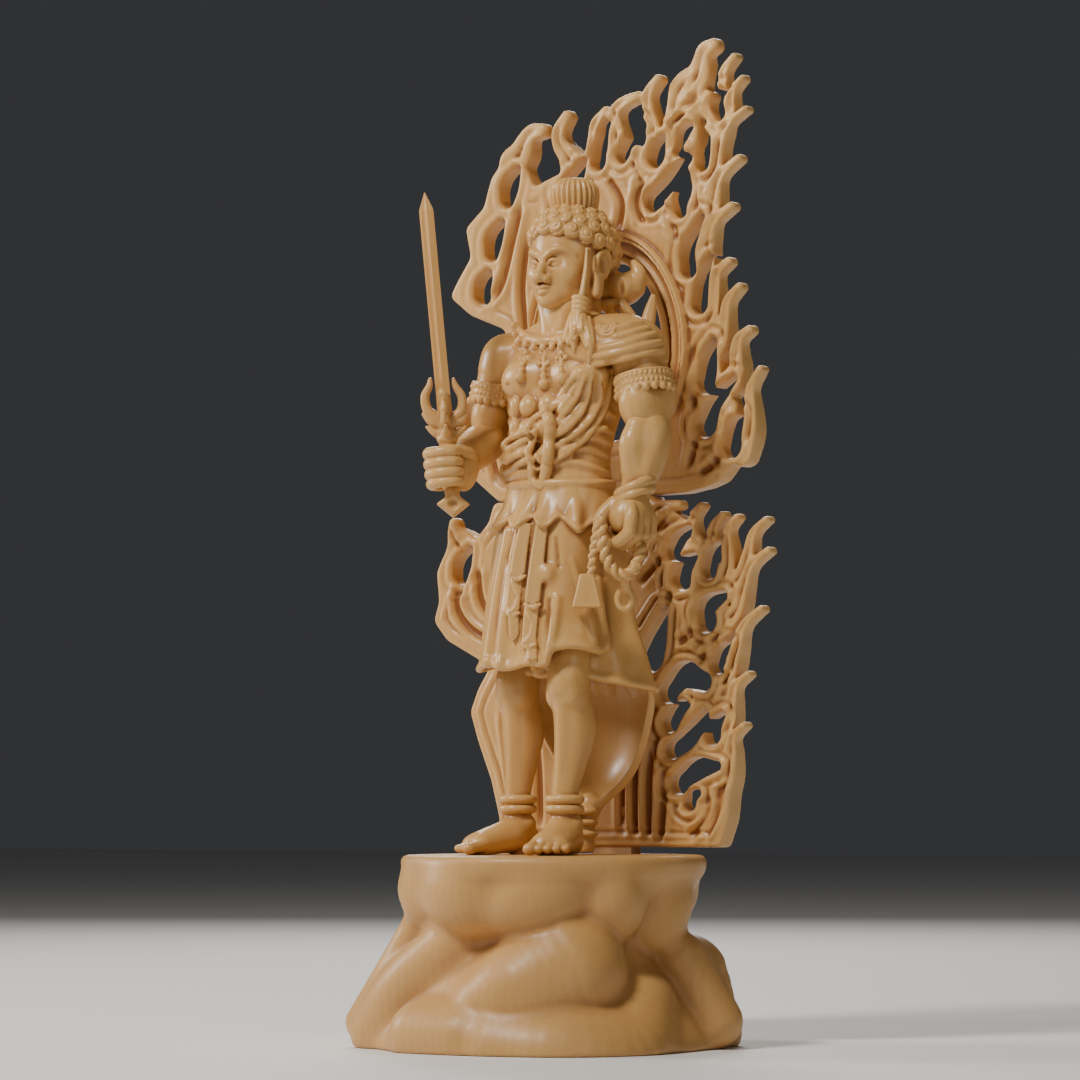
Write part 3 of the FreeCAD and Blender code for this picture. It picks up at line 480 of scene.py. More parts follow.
# -------------------------------------------------------------- flame aureole
JOINT = 107.0
UPPER_SHEET = [
    (34, 107), (-42, 107), (-50, 113), (-57, 119), (-59, 127), (-58, 135), (-50, 144),
    (-41, 149), (-39, 155), (-40, 160), (-53, 165), (-61, 171), (-58, 176), (-53, 183),
    (-55, 192), (-48, 198), (-45, 207), (-36, 217), (-29, 203), (-15, 208), (0, 212),
    (14, 212), (28, 224), (34, 226), (32, 204), (36, 197), (35, 185), (32, 168), (36, 161),
    (40, 152), (41, 140), (46, 133), (48, 118), (40, 109),
]
LOWER_SHEET = [
    (39, 2), (-41, 2), (-42, 11), (-45, 22), (-50, 34), (-53, 43), (-50, 50), (-46, 56),
    (-50, 59), (-62, 65), (-67, 71), (-65, 77), (-66, 86), (-61, 95), (-58, 101), (-51, 96),
    (-46, 101), (-44, 107), (15, 107), (26, 100), (36, 92), (42, 84), (43, 75), (42, 64),
    (44, 56), (43, 44), (45, 27), (42, 10),
]
# Root, bend and tip of each flame tongue, its half-width at each, and how far
# its tip curls forward.
UPPER_TONGUES = [
    ((-37, 211), (-32, 217), (-25, 220), 5, 4.5, 3.5, 2),
    ((-14, 207), (-19, 215), (-16, 223), 5, 3.5, 3.2, 2),
    ((-9, 208), (-7, 216), (-2, 224), 3.5, 2.6, 2.2, 1),
    ((2, 207), (1, 221), (10, 227), 4, 3.2, 2.6, 2),
    ((15, 208), (14, 222), (18, 231), 4, 2.6, 2.6, 3),
    ((20, 212), (23, 223), (31, 232), 4.5, 3.8, 5, 0),
    ((29, 228), (33, 235), (38, 239), 5, 4.2, 3.6, 3),
    ((37, 215), (40, 226), (44, 235), 3, 2.2, 2, 1),
    ((38, 210), (43, 220), (48, 228), 3, 2.4, 1.8, 3),
    ((34, 198), (39, 209), (49, 219), 5, 3, 1.8, 3),
    ((32, 181), (37, 194), (46, 205), 5, 3.8, 2.2, 2),
    ((31, 167), (35, 181), (44, 191), 4, 3.3, 2.4, 3),
    ((33, 154), (37, 167), (42, 175), 5, 3, 2.4, 1),
    ((37, 149), (41, 158), (47, 167), 3.5, 2.6, 2.2, 3),
    ((43, 139), (45, 148), (50, 154), 4, 3, 2.4, 2),
    ((46, 118), (50, 130), (54, 142), 4, 2.8, 2, 3),
    ((34, 224), (36, 218), (39, 213), 2.4, 2.4, 2.6, 0),
    ((11, 201), (8, 207), (9, 211), 3, 2.5, 2, 1),
    ((13, 206), (21, 216), (31, 220), 3.2, 2.8, 2, 2),
    ((14, 197), (21, 204), (28, 210), 3.4, 2.8, 2.2, 2),
    ((24, 188), (22, 193), (23, 196), 2.6, 2.2, 2, 1),
    ((38, 124), (40, 128), (42, 131), 2.4, 2.2, 2.2, 1),
]
UPPER_HOLES = [
    ((-5, 209), (-4, 214), (-1, 220), 3, 2.5, 1), ((4, 210), (7, 214), (12, 218), 2.6, 2.4, 1.2),
    ((16, 208), (17, 211), (19, 214), 3, 2.6, 1), ((25, 210), (26, 214), (29, 216), 2.6, 2.4, 1),
    ((33, 205), (34, 210), (34, 213), 2.6, 2.4, 1.2), ((15, 195), (20, 199), (28, 207), 3.2, 3,
            1.6),
    ((25, 192), (26, 197), (27, 202), 2.8, 2.8, 2), ((28, 174), (28, 180), (33, 189), 3, 2.7, 1.2),
    ((32, 163), (33, 170), (36, 177), 3, 2.6, 1), ((34, 140), (35, 146), (37, 152), 4, 3.2, 1),
    ((34, 127), (37, 133), (44, 140), 4, 3.2, 1.5), ((43, 120), (44, 125), (47, 129), 3.6, 3, 1),
    ((-39, 200), (-38, 204), (-35, 209), 2.8, 3.4, 1.2),
    ((-45, 184), (-44, 188), (-41, 193), 2.8, 3.4, 1.2),
    ((-49, 171), (-48, 174), (-46, 178), 3, 3.3, 1.2), ((-54, 131), (-53, 134), (-51, 138), 3, 3.2,
            1),
    ((-17, 200), (-13, 205), (-10, 210), 4, 3, 1), ((39, 219), (38, 222), (40, 225), 2.4, 2.6, 1.4),
]
LOWER_TONGUES = [
    ((-55, 90), (-58, 95), (-58, 101), 5, 4, 2.4, 3),
    ((8, 92), (14, 100), (25, 104), 5, 3.5, 2.4, 2),
    ((27, 90), (29, 96), (33, 103), 3, 2.6, 2, 2),
    ((34, 86), (36, 93), (40, 100), 3, 2.6, 2, 1),
    ((40, 80), (42, 91), (46, 99), 3, 2.4, 1.8, 3),
    ((41, 77), (49, 88), (56, 98), 3, 2.6, 1.8, 3),
    ((40, 67), (47, 78), (56, 89), 3.2, 2.8, 2, 2),
    ((37, 48), (45, 60), (54, 72), 3.5, 2.8, 2, 3),
    ((38, 32), (43, 44), (49, 53), 3, 2.6, 1.8, 2),
    ((38, 16), (43, 29), (48, 38), 3.4, 2.6, 1.8, 3),
    ((21, 44), (24, 48), (27, 50), 2.4, 2.4, 2, 1),
    ((27, 42), (29, 48), (31, 54), 2.4, 2.4, 2, 1),
    ((23, 13), (25, 17), (29, 20), 2.6, 2.6, 2, 1),
]
LOWER_HOLES = [
    ((-57, 85), (-56, 88), (-53, 93), 3, 3.3, 1), ((22, 90), (24, 93), (28, 96), 3, 2.8, 1.4),
    ((25, 82), (26, 85), (30, 88), 3.8, 3.4, 1.2), ((35, 84), (36, 88), (38, 91), 3, 2.8, 1.2),
    ((34, 69), (34, 73), (40, 76), 3.8, 3.4, 1.6), ((38, 56), (39, 59), (42, 62), 3, 2.6, 1),
    ((20, 48), (26, 53), (33, 51), 3.4, 4.2, 3), ((21, 39), (23, 42), (26, 44), 3.2, 3, 1.8),
    ((22, 31), (28, 35), (33, 41), 3, 3.4, 2), ((36, 35), (37, 38), (40, 41), 3, 2.6, 1),
    ((24, 21), (30, 25), (38, 26), 3.4, 3.6, 1.4), ((28, 15), (29, 17), (31, 18), 2.4, 2, 1.2),
    ((14, 59), (16, 64), (19, 72), 5, 4, 1.6),
]
WINDOW = (0, 151, 19.5, 27)  # x, level, half-width and half-height
# Furrows that run up the boards like licks of flame: points and half-width.
UPPER_FURROWS = [
    [(-34, 110), (-36, 130), (-31, 150), (-33, 172), (-30, 192)],
    [(-42, 112), (-45, 128), (-38, 144)], [(-30, 140), (-27, 165), (-22, 185), (-22, 200)],
    [(-52, 167), (-42, 172), (-37, 186), (-33, 200)], [(-8, 186), (-10, 196), (-6, 204)],
    [(3, 187), (4, 196), (-2, 205)], [(28, 112), (31, 125), (30, 140), (31, 152)],
    [(32, 112), (38, 116), (41, 122)], [(24, 182), (22, 190), (18, 194)],
    [(12, 188), (10, 196), (12, 204)], [(31, 190), (30, 198), (32, 204)],
    [(19, 205), (24, 217), (33, 227)], [(38, 136), (42, 140), (44, 148)],
]
LOWER_FURROWS = [
    [(-26, 4), (-27, 30), (-32, 60), (-30, 95)], [(-33, 4), (-37, 25), (-40, 45)],
    [(-38, 62), (-52, 68), (-58, 76), (-55, 84)], [(-40, 70), (-48, 76), (-50, 88)],
    [(4, 3), (5, 30), (8, 50), (7, 75)], [(9, 3), (9, 28), (12, 46)], [(14, 3), (14, 24), (17, 36)],
    [(18, 3), (19, 14), (20, 26)], [(10, 80), (18, 88), (20, 95)], [(6, 84), (12, 93), (22, 100)],
    [(24, 62), (29, 66), (31, 74)], [(20, 72), (22, 78), (30, 80)], [(33, 4), (38, 12), (40, 22)],
    [(28, 4), (34, 10), (36, 18)], [(40, 44), (41, 52), (38, 52)], [(31, 57), (36, 60), (38, 66)],
]


def strip_field(x, z, spots, halves, count=6):
    """Distance to a curved strip in the board's plane, and how far along it is."""
    rows = curve_through([(a, b, h) for (a, b), h in zip(spots, halves)], count)
    best = np.full(np.broadcast(x, z).shape, 1e3, np.float32)
    along = np.zeros_like(best)
    last = len(rows) - 1
    for i in range(last):
        (ax, az, ah), (bx, bz, bh) = rows[i], rows[i + 1]
        vx, vz = bx - ax, bz - az
        t = np.clip(((x - ax) * vx + (z - az) * vz) / (vx * vx + vz * vz), 0, 1)
        d = np.hypot(x - ax - t * vx, z - az - t * vz) - (ah + (bh - ah) * t)
        nearer = d < best
        best = np.where(nearer, d, best)
        along = np.where(nearer, (i + t) / last, along)
    return best, along


def waving(root, bend, tip):
    """Five points of an S-shaped lick of flame through a root, a bend and a tip."""
    rows = curve_through([root, bend, tip], 2)
    reach = math.hypot(tip[0] - root[0], tip[1] - root[1])
    across = np.array([tip[1] - root[1], root[0] - tip[0]]) / reach
    sway = 0.055 * reach
    return [tuple(spot + across * sway * side) for spot, side in zip(rows, (0, 1, 0.1, -1, 0.5))]


def outline_field(x, z, corners):
    """Signed distance to a closed outline, negative inside."""
    best = np.full(np.broadcast(x, z).shape, 1e6)
    inside = np.zeros(best.shape, bool)
    for (ax, az), (bx, bz) in zip(corners, corners[1:] + corners[:1]):
        vx, vz = bx - ax, bz - az
        t = np.clip(((x - ax) * vx + (z - az) * vz) / (vx * vx + vz * vz), 0, 1)
        best = np.minimum(best, (x - ax - t * vx) ** 2 + (z - az - t * vz) ** 2)
        crosses = (az > z) != (bz > z)
        if bz != az:
            inside ^= crosses & (x < ax + (z - az) * vx / vz)
    return np.where(inside, -np.sqrt(best), np.sqrt(best))


def blur_plane(plane, reach):
    for axis in (0, 1):
        pad = [(reach, reach) if a == axis else (0, 0) for a in (0, 1)]
        padded = np.pad(plane, pad, mode="edge")
        plane = sum(np.take(padded, np.arange(plane.shape[axis]) + s, axis=axis)
                    for s in range(2 * reach + 1)) / (2 * reach + 1)
    return plane


def flame_board(name, low, high, sheet, tongues, holes, furrows, bottom, top, window):
    voxel = 0.42
    clay = Clay((low[0], BOARD_FRONT - 11, low[1] + SOLE),
                (high[0], BOARD_BACK + 3, high[1] + SOLE), voxel)
    z = clay.axes[2][None, :] - SOLE
    bow = 4.2 * (np.abs(clay.axes[0][:, None] - 4) / 58) ** 2.2 + 3.5 * ramp(z, 170, CROWN)
    x = clay.axes[0][:, None] - 0.727 * bow
    flat = blur_plane(outline_field(x, z, sheet) + 1.3 * ramp(x, 24, 34) * ramp(z, 10, 30), 3)
    lift = np.zeros_like(flat)
    crest = np.zeros_like(flat)
    tips = np.zeros_like(flat)
    for root, bend, tip, a, b, c, curl in tongues:
        spots, halves = waving(root, bend, tip), (a, 0.95 * b, 0.75 * b, 0.8 * c, 0.62 * c)
        d, along = strip_field(x, z, spots, halves)
        lift = np.maximum(lift, curl * along ** 2 * ramp(-d, -2, 0.5))
        tips = np.maximum(tips, ramp(along, 0.25, 0.9) * ramp(-d, -2.5, 0.2))
        middle = d + np.interp(along, (0, 0.25, 0.5, 0.75, 1), halves)
        channel = np.exp(-(middle / 0.7) ** 2) * ramp(along, 0.02,
                0.2) * (1 - ramp(along, 0.72, 0.95))
        crest = np.maximum(crest, channel * (d < 0))
        flat = smooth_min(flat, d, 1.2)
    rims = np.full_like(flat, 50)
    for root, bend, tip, a, b, c in holes:
        d, _ = strip_field(x, z, (root, bend, tip), (a, b, c))
        rims = np.minimum(rims, d)
        flat = smooth_max(flat, -d, 0.8)
    if window is not None:
        wx, wz, half_x, half_z = window
        share = np.sqrt(((x - wx) / half_x) ** 2 + ((z - wz) / half_z) ** 2) + 1e-6
        rim = np.hypot(x - wx, z - wz) * (1 - 1 / share)
        flat = smooth_max(flat, -rim, 0.5)
    inward = -flat
    rounded = np.clip(1 - inward / 1.7, 0, 1)
    relief = -1.0 * (1 - np.sqrt(1 - rounded ** 2 * 0.96)) - 1.3 * crest
    ripples = 0.3 * np.cos(inward * 2 * math.pi / 3.1) * ramp(inward, 1.2, 2.4) * (
        1 - ramp(inward, 4.5, 7))
    collar = 0.55 * np.cos((rims - 1.1) * 2 * math.pi / 3.3) * ramp(rims, 0.2, 1.2) * (
        1 - ramp(rims, 3.5, 5.5)) * (0.4 + 0.6 * ramp(x, -20, 10))
    relief = relief + ripples * ramp(rims, 4.5, 6.5) + collar
    for spots in furrows:
        d, along = strip_field(x, z, spots, [0.5] * len(spots))
        ends = ramp(along, 0, 0.15) * (1 - ramp(along, 0.85, 1))
        relief = relief - 1.25 * np.exp(-(np.maximum(d, 0) / 0.8) ** 2) * ends
        relief = relief + 0.7 * np.exp(-((d - 1.9) / 0.95) ** 2) * ends
    if window is not None:
        halo = ramp(wz - z, 22, 16)
        moulding = np.interp(rim, (0, 0.5, 1.3, 1.9, 2.3, 2.8, 3.2, 4.6, 6.3, 6.8, 7.3, 7.8, 8.2,
                                   8.8, 9.5),
                             (0, 1.5, 1.9, 1.3, -0.9, -0.9, 0.4, -0.5, -0.3, 1.7, 2.3, 0.8, 2.6,
                              2.4, 0))
        relief = blur_plane(relief, 1) * (1 - halo * ramp(9.5 - rim, 0,
                1) * (rim > 0)) + moulding * halo
    bow = bow + blur_plane(lift, 2)
    middle = (BOARD_FRONT + BOARD_BACK) / 2 - bow
    half = (BOARD_BACK - BOARD_FRONT) / 2 - 0.6
    front = middle - half - relief
    gouges = np.cos(x * 2 * math.pi / 6.5 + 1.3 * np.sin(z / 17)) * ramp(inward, 1, 3)
    back = middle + half - 0.16 * gouges
    back = back - 2.2 * blur_plane(tips, 2)
    y = clay.axes[1][None, :, None]
    sides = flat[:, None, :]
    block = smooth_max(np.maximum(front[:, None, :] - y, y - back[:, None, :]), sides, 0.7)
    clay.d = np.minimum(block, clay.FAR).astype(np.float32)
    clay.keep_above(SOLE + bottom, 0.4)
    clay.keep_below(SOLE + top, 0.4)
    carve(name + "_carving", clay, "aureole", [name], LIT_FLAME_WOOD)


def aureole():
    flame_board("aureole_upper", (-66, 104), (60, CROWN + 4), UPPER_SHEET, UPPER_TONGUES,
                UPPER_HOLES, UPPER_FURROWS, JOINT + 0.08, CROWN + 3, WINDOW)
    flame_board("aureole_lower", (-71, -2), (62, JOINT + 3), LOWER_SHEET, LOWER_TONGUES,
                LOWER_HOLES, LOWER_FURROWS, 2, JOINT - 0.08, None)


# ------------------------------------------- seen from the left front quarter
VIEW_FROM = np.array([740.6, -1019.4, 71])  # where the camera stands
VIEW_BEARING, VIEW_RISE = 36, 3.52  # in degrees
TO_RIGHT = np.array([0.809, 0.588])
TOWARD = np.array([0.588, -0.809, 0])


def land(clay, s, z, out=0.0):
    """Where a line of sight meets the clay: s to the right of the middle and z
    above the soles, in the upright plane that faces the left front quarter."""
    target = np.array([s * TO_RIGHT[0], s * TO_RIGHT[1], z + SOLE])
    heading = target - VIEW_FROM
    reach = np.linalg.norm(heading)
    heading = heading / reach
    steps = np.arange(-55, 55, 0.25)
    spots = target + steps[:, None] * heading
    cells = (spots - clay.low) / clay.voxel
    inside = np.all((cells >= 0) & (cells <= np.array(clay.d.shape) - 1), axis=1)
    values = np.where(inside, sample(clay.d, cells), clay.FAR)
    hits = np.nonzero(values <= 0)[0]
    at = steps[hits[0]] if len(hits) else steps[np.argmin(values)]
    return target + (at - out) * heading


def lay(clay, rows, out=0.0, count=4, flat=None):
    """A strip that lies on the clay, through rows of s, z and half-width."""
    rows = curve_through(rows, count)
    spots = [np.append(land(clay, s, z, out), half) for s, z, half in rows]
    bones = [bone(a[:3], b[:3], a[3], b[3], flat) for a, b in zip(spots, spots[1:])]
    low = np.min([f.low for f in bones], axis=0)
    high = np.max([f.high for f in bones], axis=0)
    return Form(low, high, lambda x, y, z: np.minimum.reduce(
        [f.distance(x, y, z) for f in bones]))


def plate(clay, outline, out, half=0.6):
    """A thin flat flap that hangs on the clay: its outline as s and z, and how far
    its middle stands out from the clay."""
    corners = np.array(outline)
    rises = np.linspace(corners[:, 1].min(), corners[:, 1].max(), 4)
    toward = TOWARD[:2]
    mid = corners[:, 0].mean()
    depths = [land(clay, mid, rise)[:2] @ toward + out for rise in rises]
    spots = [(*(a * TO_RIGHT + t * toward), b + SOLE) for a, b in outline
             for t in (min(depths), max(depths))]

    def distance(x, y, z):
        side = outline_field(x * TO_RIGHT[0] + y * TO_RIGHT[1], z - SOLE,
                             [tuple(c) for c in outline])
        depth = toward[0] * x + toward[1] * y - np.interp(z - SOLE, rises, depths)
        return smooth_max(side, np.abs(depth) - half, 0.5)

    return Form(np.min(spots, axis=0) - 1.5, np.max(spots, axis=0) + 1.5, distance)


def snail(spot, normal, size, spin):
    """A domed curl with a spiral cut in it."""
    normal = normal / np.linalg.norm(normal)
    side = np.cross(normal, (0, 0, 1))
    side = side / (np.linalg.norm(side) + 1e-6)
    rise = np.cross(side, normal)
    spot = np.array(spot, float)
    pitch = 0.46 * size

    def distance(x, y, z):
        p = [x - spot[0], y - spot[1], z - spot[2]]
        h = sum(c * n for c, n in zip(p, normal))
        a = sum(c * n for c, n in zip(p, side))
        b = sum(c * n for c, n in zip(p, rise))
        r = np.sqrt(a * a + b * b)
        dome = (np.sqrt(r * r + (h * 1.25) ** 2) - size) * 0.9
        swirl = 0.5 + 0.5 * np.cos(2 * math.pi * (r / pitch - np.arctan2(b,
                a) * spin / (2 * math.pi)))
        return dome + 0.34 * swirl ** 2 * (r < 0.95 * size) * (r > 0.2 * size)

    return Form(spot - size, spot + size, distance)


def twisted(clay, route, half, pitch):
    """Lays a rope of two round strands, wound about a route of x, y and level."""
    rows = curve_through([at(*spot) for spot in route], 7)
    steps = np.linalg.norm(np.diff(rows, axis=0), axis=1)
    along = np.concatenate([[0], np.cumsum(steps)])
    tangent = np.gradient(rows, axis=0)
    tangent /= np.linalg.norm(tangent, axis=1)[:, None]
    side = np.cross(tangent, (0.3, 0.4, 0.87))
    side /= np.linalg.norm(side, axis=1)[:, None]
    other = np.cross(tangent, side)
    for phase in (0, math.pi):
        turn = along / pitch * 2 * math.pi + phase
        line = rows + half * 0.5 * (np.cos(turn)[:, None] * side + np.sin(turn)[:, None] * other)
        for a, b in zip(line, line[1:]):
            clay.add(bone(a, b, half * 0.58, half * 0.58), 0.1)


def level(z):
    return z + SOLE


def at(x, y, z):
    return np.array([x, y, z + SOLE], float)


def path(rows, flat=None, count=5):
    """A strip through rows of x, y, level above the soles and half-width."""
    return strand([(*at(*row[:3]), row[3]) for row in rows], flat, count)


def figure_piece(name, clay, node=None, turn=None):
    carve(name + "_carving", clay, "figure", [node or name], FIGURE_WOOD, turn)


# ------------------------------------------------------------------- the head
HEAD_SPOT = (0.5, 10.5)
HEAD_YAW = -7


def head():
    cx, cy = HEAD_SPOT
    clay = Clay((cx - 17, cy - 18, level(154)), (cx + 17, cy + 18, level(199)), 0.28)

    def spot(x, y, z):
        return np.array([cx + x, cy + y, level(z)])

    def line(*rows):
        return strand([(*spot(x, y, z), half) for x, y, z, half in rows])

    clay.add(egg(spot(0, 1.5, 180), (11.4, 13.2, 12.4)))
    clay.add(egg(spot(0, -2.6, 172.6), (10.1, 9.6, 11.8)), 3)
    clay.add(egg(spot(0, -3.6, 166.6), (8.2, 7.8, 5.4)), 2.5)
    clay.add(egg(spot(0, -9.4, 163.8), (3.6, 2.8, 2.5)), 2)
    clay.add(egg(spot(0, 2.5, 163), (7.8, 8, 8)), 2)
    for side in (-1, 1):
        clay.add(egg(spot(5.9 * side, -7.2, 171.4), (3.9, 3.6, 4)), 2)
        clay.add(egg(spot(7 * side, -2.5, 165.6), (2.6, 3.4, 3.2)), 2)
        clay.cut(egg(spot(3.9 * side, -13.2, 174.4), (3.1, 2.5, 1.9)), 1.6)
        clay.add(egg(spot(3.9 * side, -9.4, 174.1), (2.5, 2.2, 1.75)), 0.5)
        clay.add(line((1.5 * side, -11.3, 173.6, 0.35), (3.1 * side, -11.9, 175.1, 0.55),
                      (5 * side, -11.2, 175.1, 0.5), (6.7 * side, -9.3, 173.7, 0.35)), 0.3)
        clay.add(line((1.6 * side, -11.3, 173.4, 0.3), (3.6 * side, -11.5, 172.4, 0.4),
                      (6.5 * side, -9.5, 173.4, 0.3)), 0.3)
        clay.add(line((1.3 * side, -12, 176.4, 0.7), (3.8 * side, -12, 178, 0.85),
                      (6.4 * side, -10.4, 178.2, 0.7), (8.6 * side, -7.2, 176.6, 0.4)), 1)
        clay.add(egg(spot(1.9 * side, -12.4, 169.6), (1.35, 1.7, 1.25)), 0.7)
        clay.add(egg(spot(11.0 * side, 1.6, 174), (1.7, 3.4, 4.6)), 0.8)
        clay.add(bone(spot(11.2 * side, 0.6, 171), spot(10.9 * side, 0, 165.6), 1.5, 1.6), 0.8)
        clay.cut(egg(spot(12.8 * side, 0.9, 174.2), (1.3, 1.5, 2.7)), 0.6)
        clay.add(line((11.8 * side, -1.4, 172.6, 0.6), (12.2 * side, -0.6, 177, 0.7),
                      (12.4 * side, 2.6, 178.1, 0.75), (12.1 * side, 4.2, 174.5,
                                0.7), (11.9 * side, 2.6, 171, 0.6)), 0.4)
    clay.add(bone(spot(0, -11.2, 176.2), spot(0, -13.9, 170.6), 1, 1.45), 1.2)
    clay.add(egg(spot(0, -14, 170.1), (1.7, 1.7, 1.45)), 0.8)
    clay.add(line((-3.2, -10.9, 166.9, 0.35), (-1.2, -12.6, 167.4, 0.7), (0, -12.8, 167.2, 0.65),
                  (1.2, -12.6, 167.4, 0.7), (3.2, -10.9, 166.9, 0.35)), 0.5)
    clay.add(line((-2.7, -11, 166.5, 0.35), (0, -12.4, 165.8, 0.85), (2.7, -11, 166.5, 0.35)), 0.5)
    clay.cut(line((-3.1, -11.6, 166.8, 0.16), (0, -13.6, 166.6, 0.2), (3.1, -11.6, 166.8, 0.16)),
             0.4)
    hair = np.array([12.1, 13.9, 12.6])
    middle = spot(0, 1.6, 180)
    cap = egg(middle, hair - 0.2)
    hairline = [(-180, -12), (-130, -10), (-100, 0), (-72, 2), (-50, 12), (-25, 17), (0, 19)]

    def lowest(turned):
        return np.interp(-np.abs(turned), [r[0] for r in hairline],
                         [r[1] for r in hairline])

    def hair_cap(x, y, z):
        px, py, pz = x - middle[0], y - middle[1], z - middle[2]
        bearing = np.degrees(np.arctan2(px, -py))
        height = np.degrees(np.arctan2(pz, np.sqrt(px * px + py * py) + 1e-3))
        edge = (lowest(bearing) - height) * 0.2
        return np.maximum(cap.distance(x, y, z), edge)

    clay.add(Form(cap.low, cap.high, hair_cap), 0.6)
    rows = [(0, 18, 2.75), (19, 17, 2.7), (36, 14, 2.6), (52, 10, 2.5), (-17, 18, 2.6)]
    for row, (rise, number, size) in enumerate(rows):
        for i in range(number):
            turned = (i + 0.5 * (row % 2)) * 360 / number
            turned = (turned + 180) % 360 - 180
            low_edge = float(lowest(turned))
            height = low_edge + 5 + rise * (1 - (low_edge + 5) / 110)
            if row == 4:
                if abs(turned) < 112:
                    continue
                height = -20
            b, e = math.radians(turned), math.radians(height)
            way = np.array([math.sin(b) * math.cos(e), -math.cos(b) * math.cos(e), math.sin(e)])
            touch = middle + way / np.linalg.norm(way / hair)
            normal = way / hair
            clay.add(snail(touch - 0.35 * normal / np.linalg.norm(normal), normal, size,
                           1 if i % 2 else -1), 0.25)
    figure_piece("head", clay, turn=(np.array([cx, cy, 0]), HEAD_YAW))


def topknot():
    clay = Clay((-9, 3, level(185)), (10, 23, level(203)), 0.28)

    def flutes(bearing, z):
        return 0.32 * np.cos(np.radians(bearing) * 26) * ramp(z, level(189.5), level(191.5))

    clay.add(tower([(level(186), 0.5, 12.5, 6.6, 6.6), (level(189.5), 0.5, 12.5, 6.1, 6.1),
                    (level(192), 0.5, 12.5, 6.9, 6.9), (level(196), 0.5, 12.5, 7.4,
                            7.4), (level(199), 0.5, 12.5, 6.6, 6.6), (level(200.8), 0.5, 12.5, 4.4,
                            4.4), (level(201.3), 0.5, 12.5, 1.2, 1.2)], flutes))
    for z, half in ((188.2, 6.9), (189.9, 6.5)):
        clay.add(ring(at(0.5, 12.5, z), half, half, 0.75), 0.3)
    figure_piece("topknot", clay)


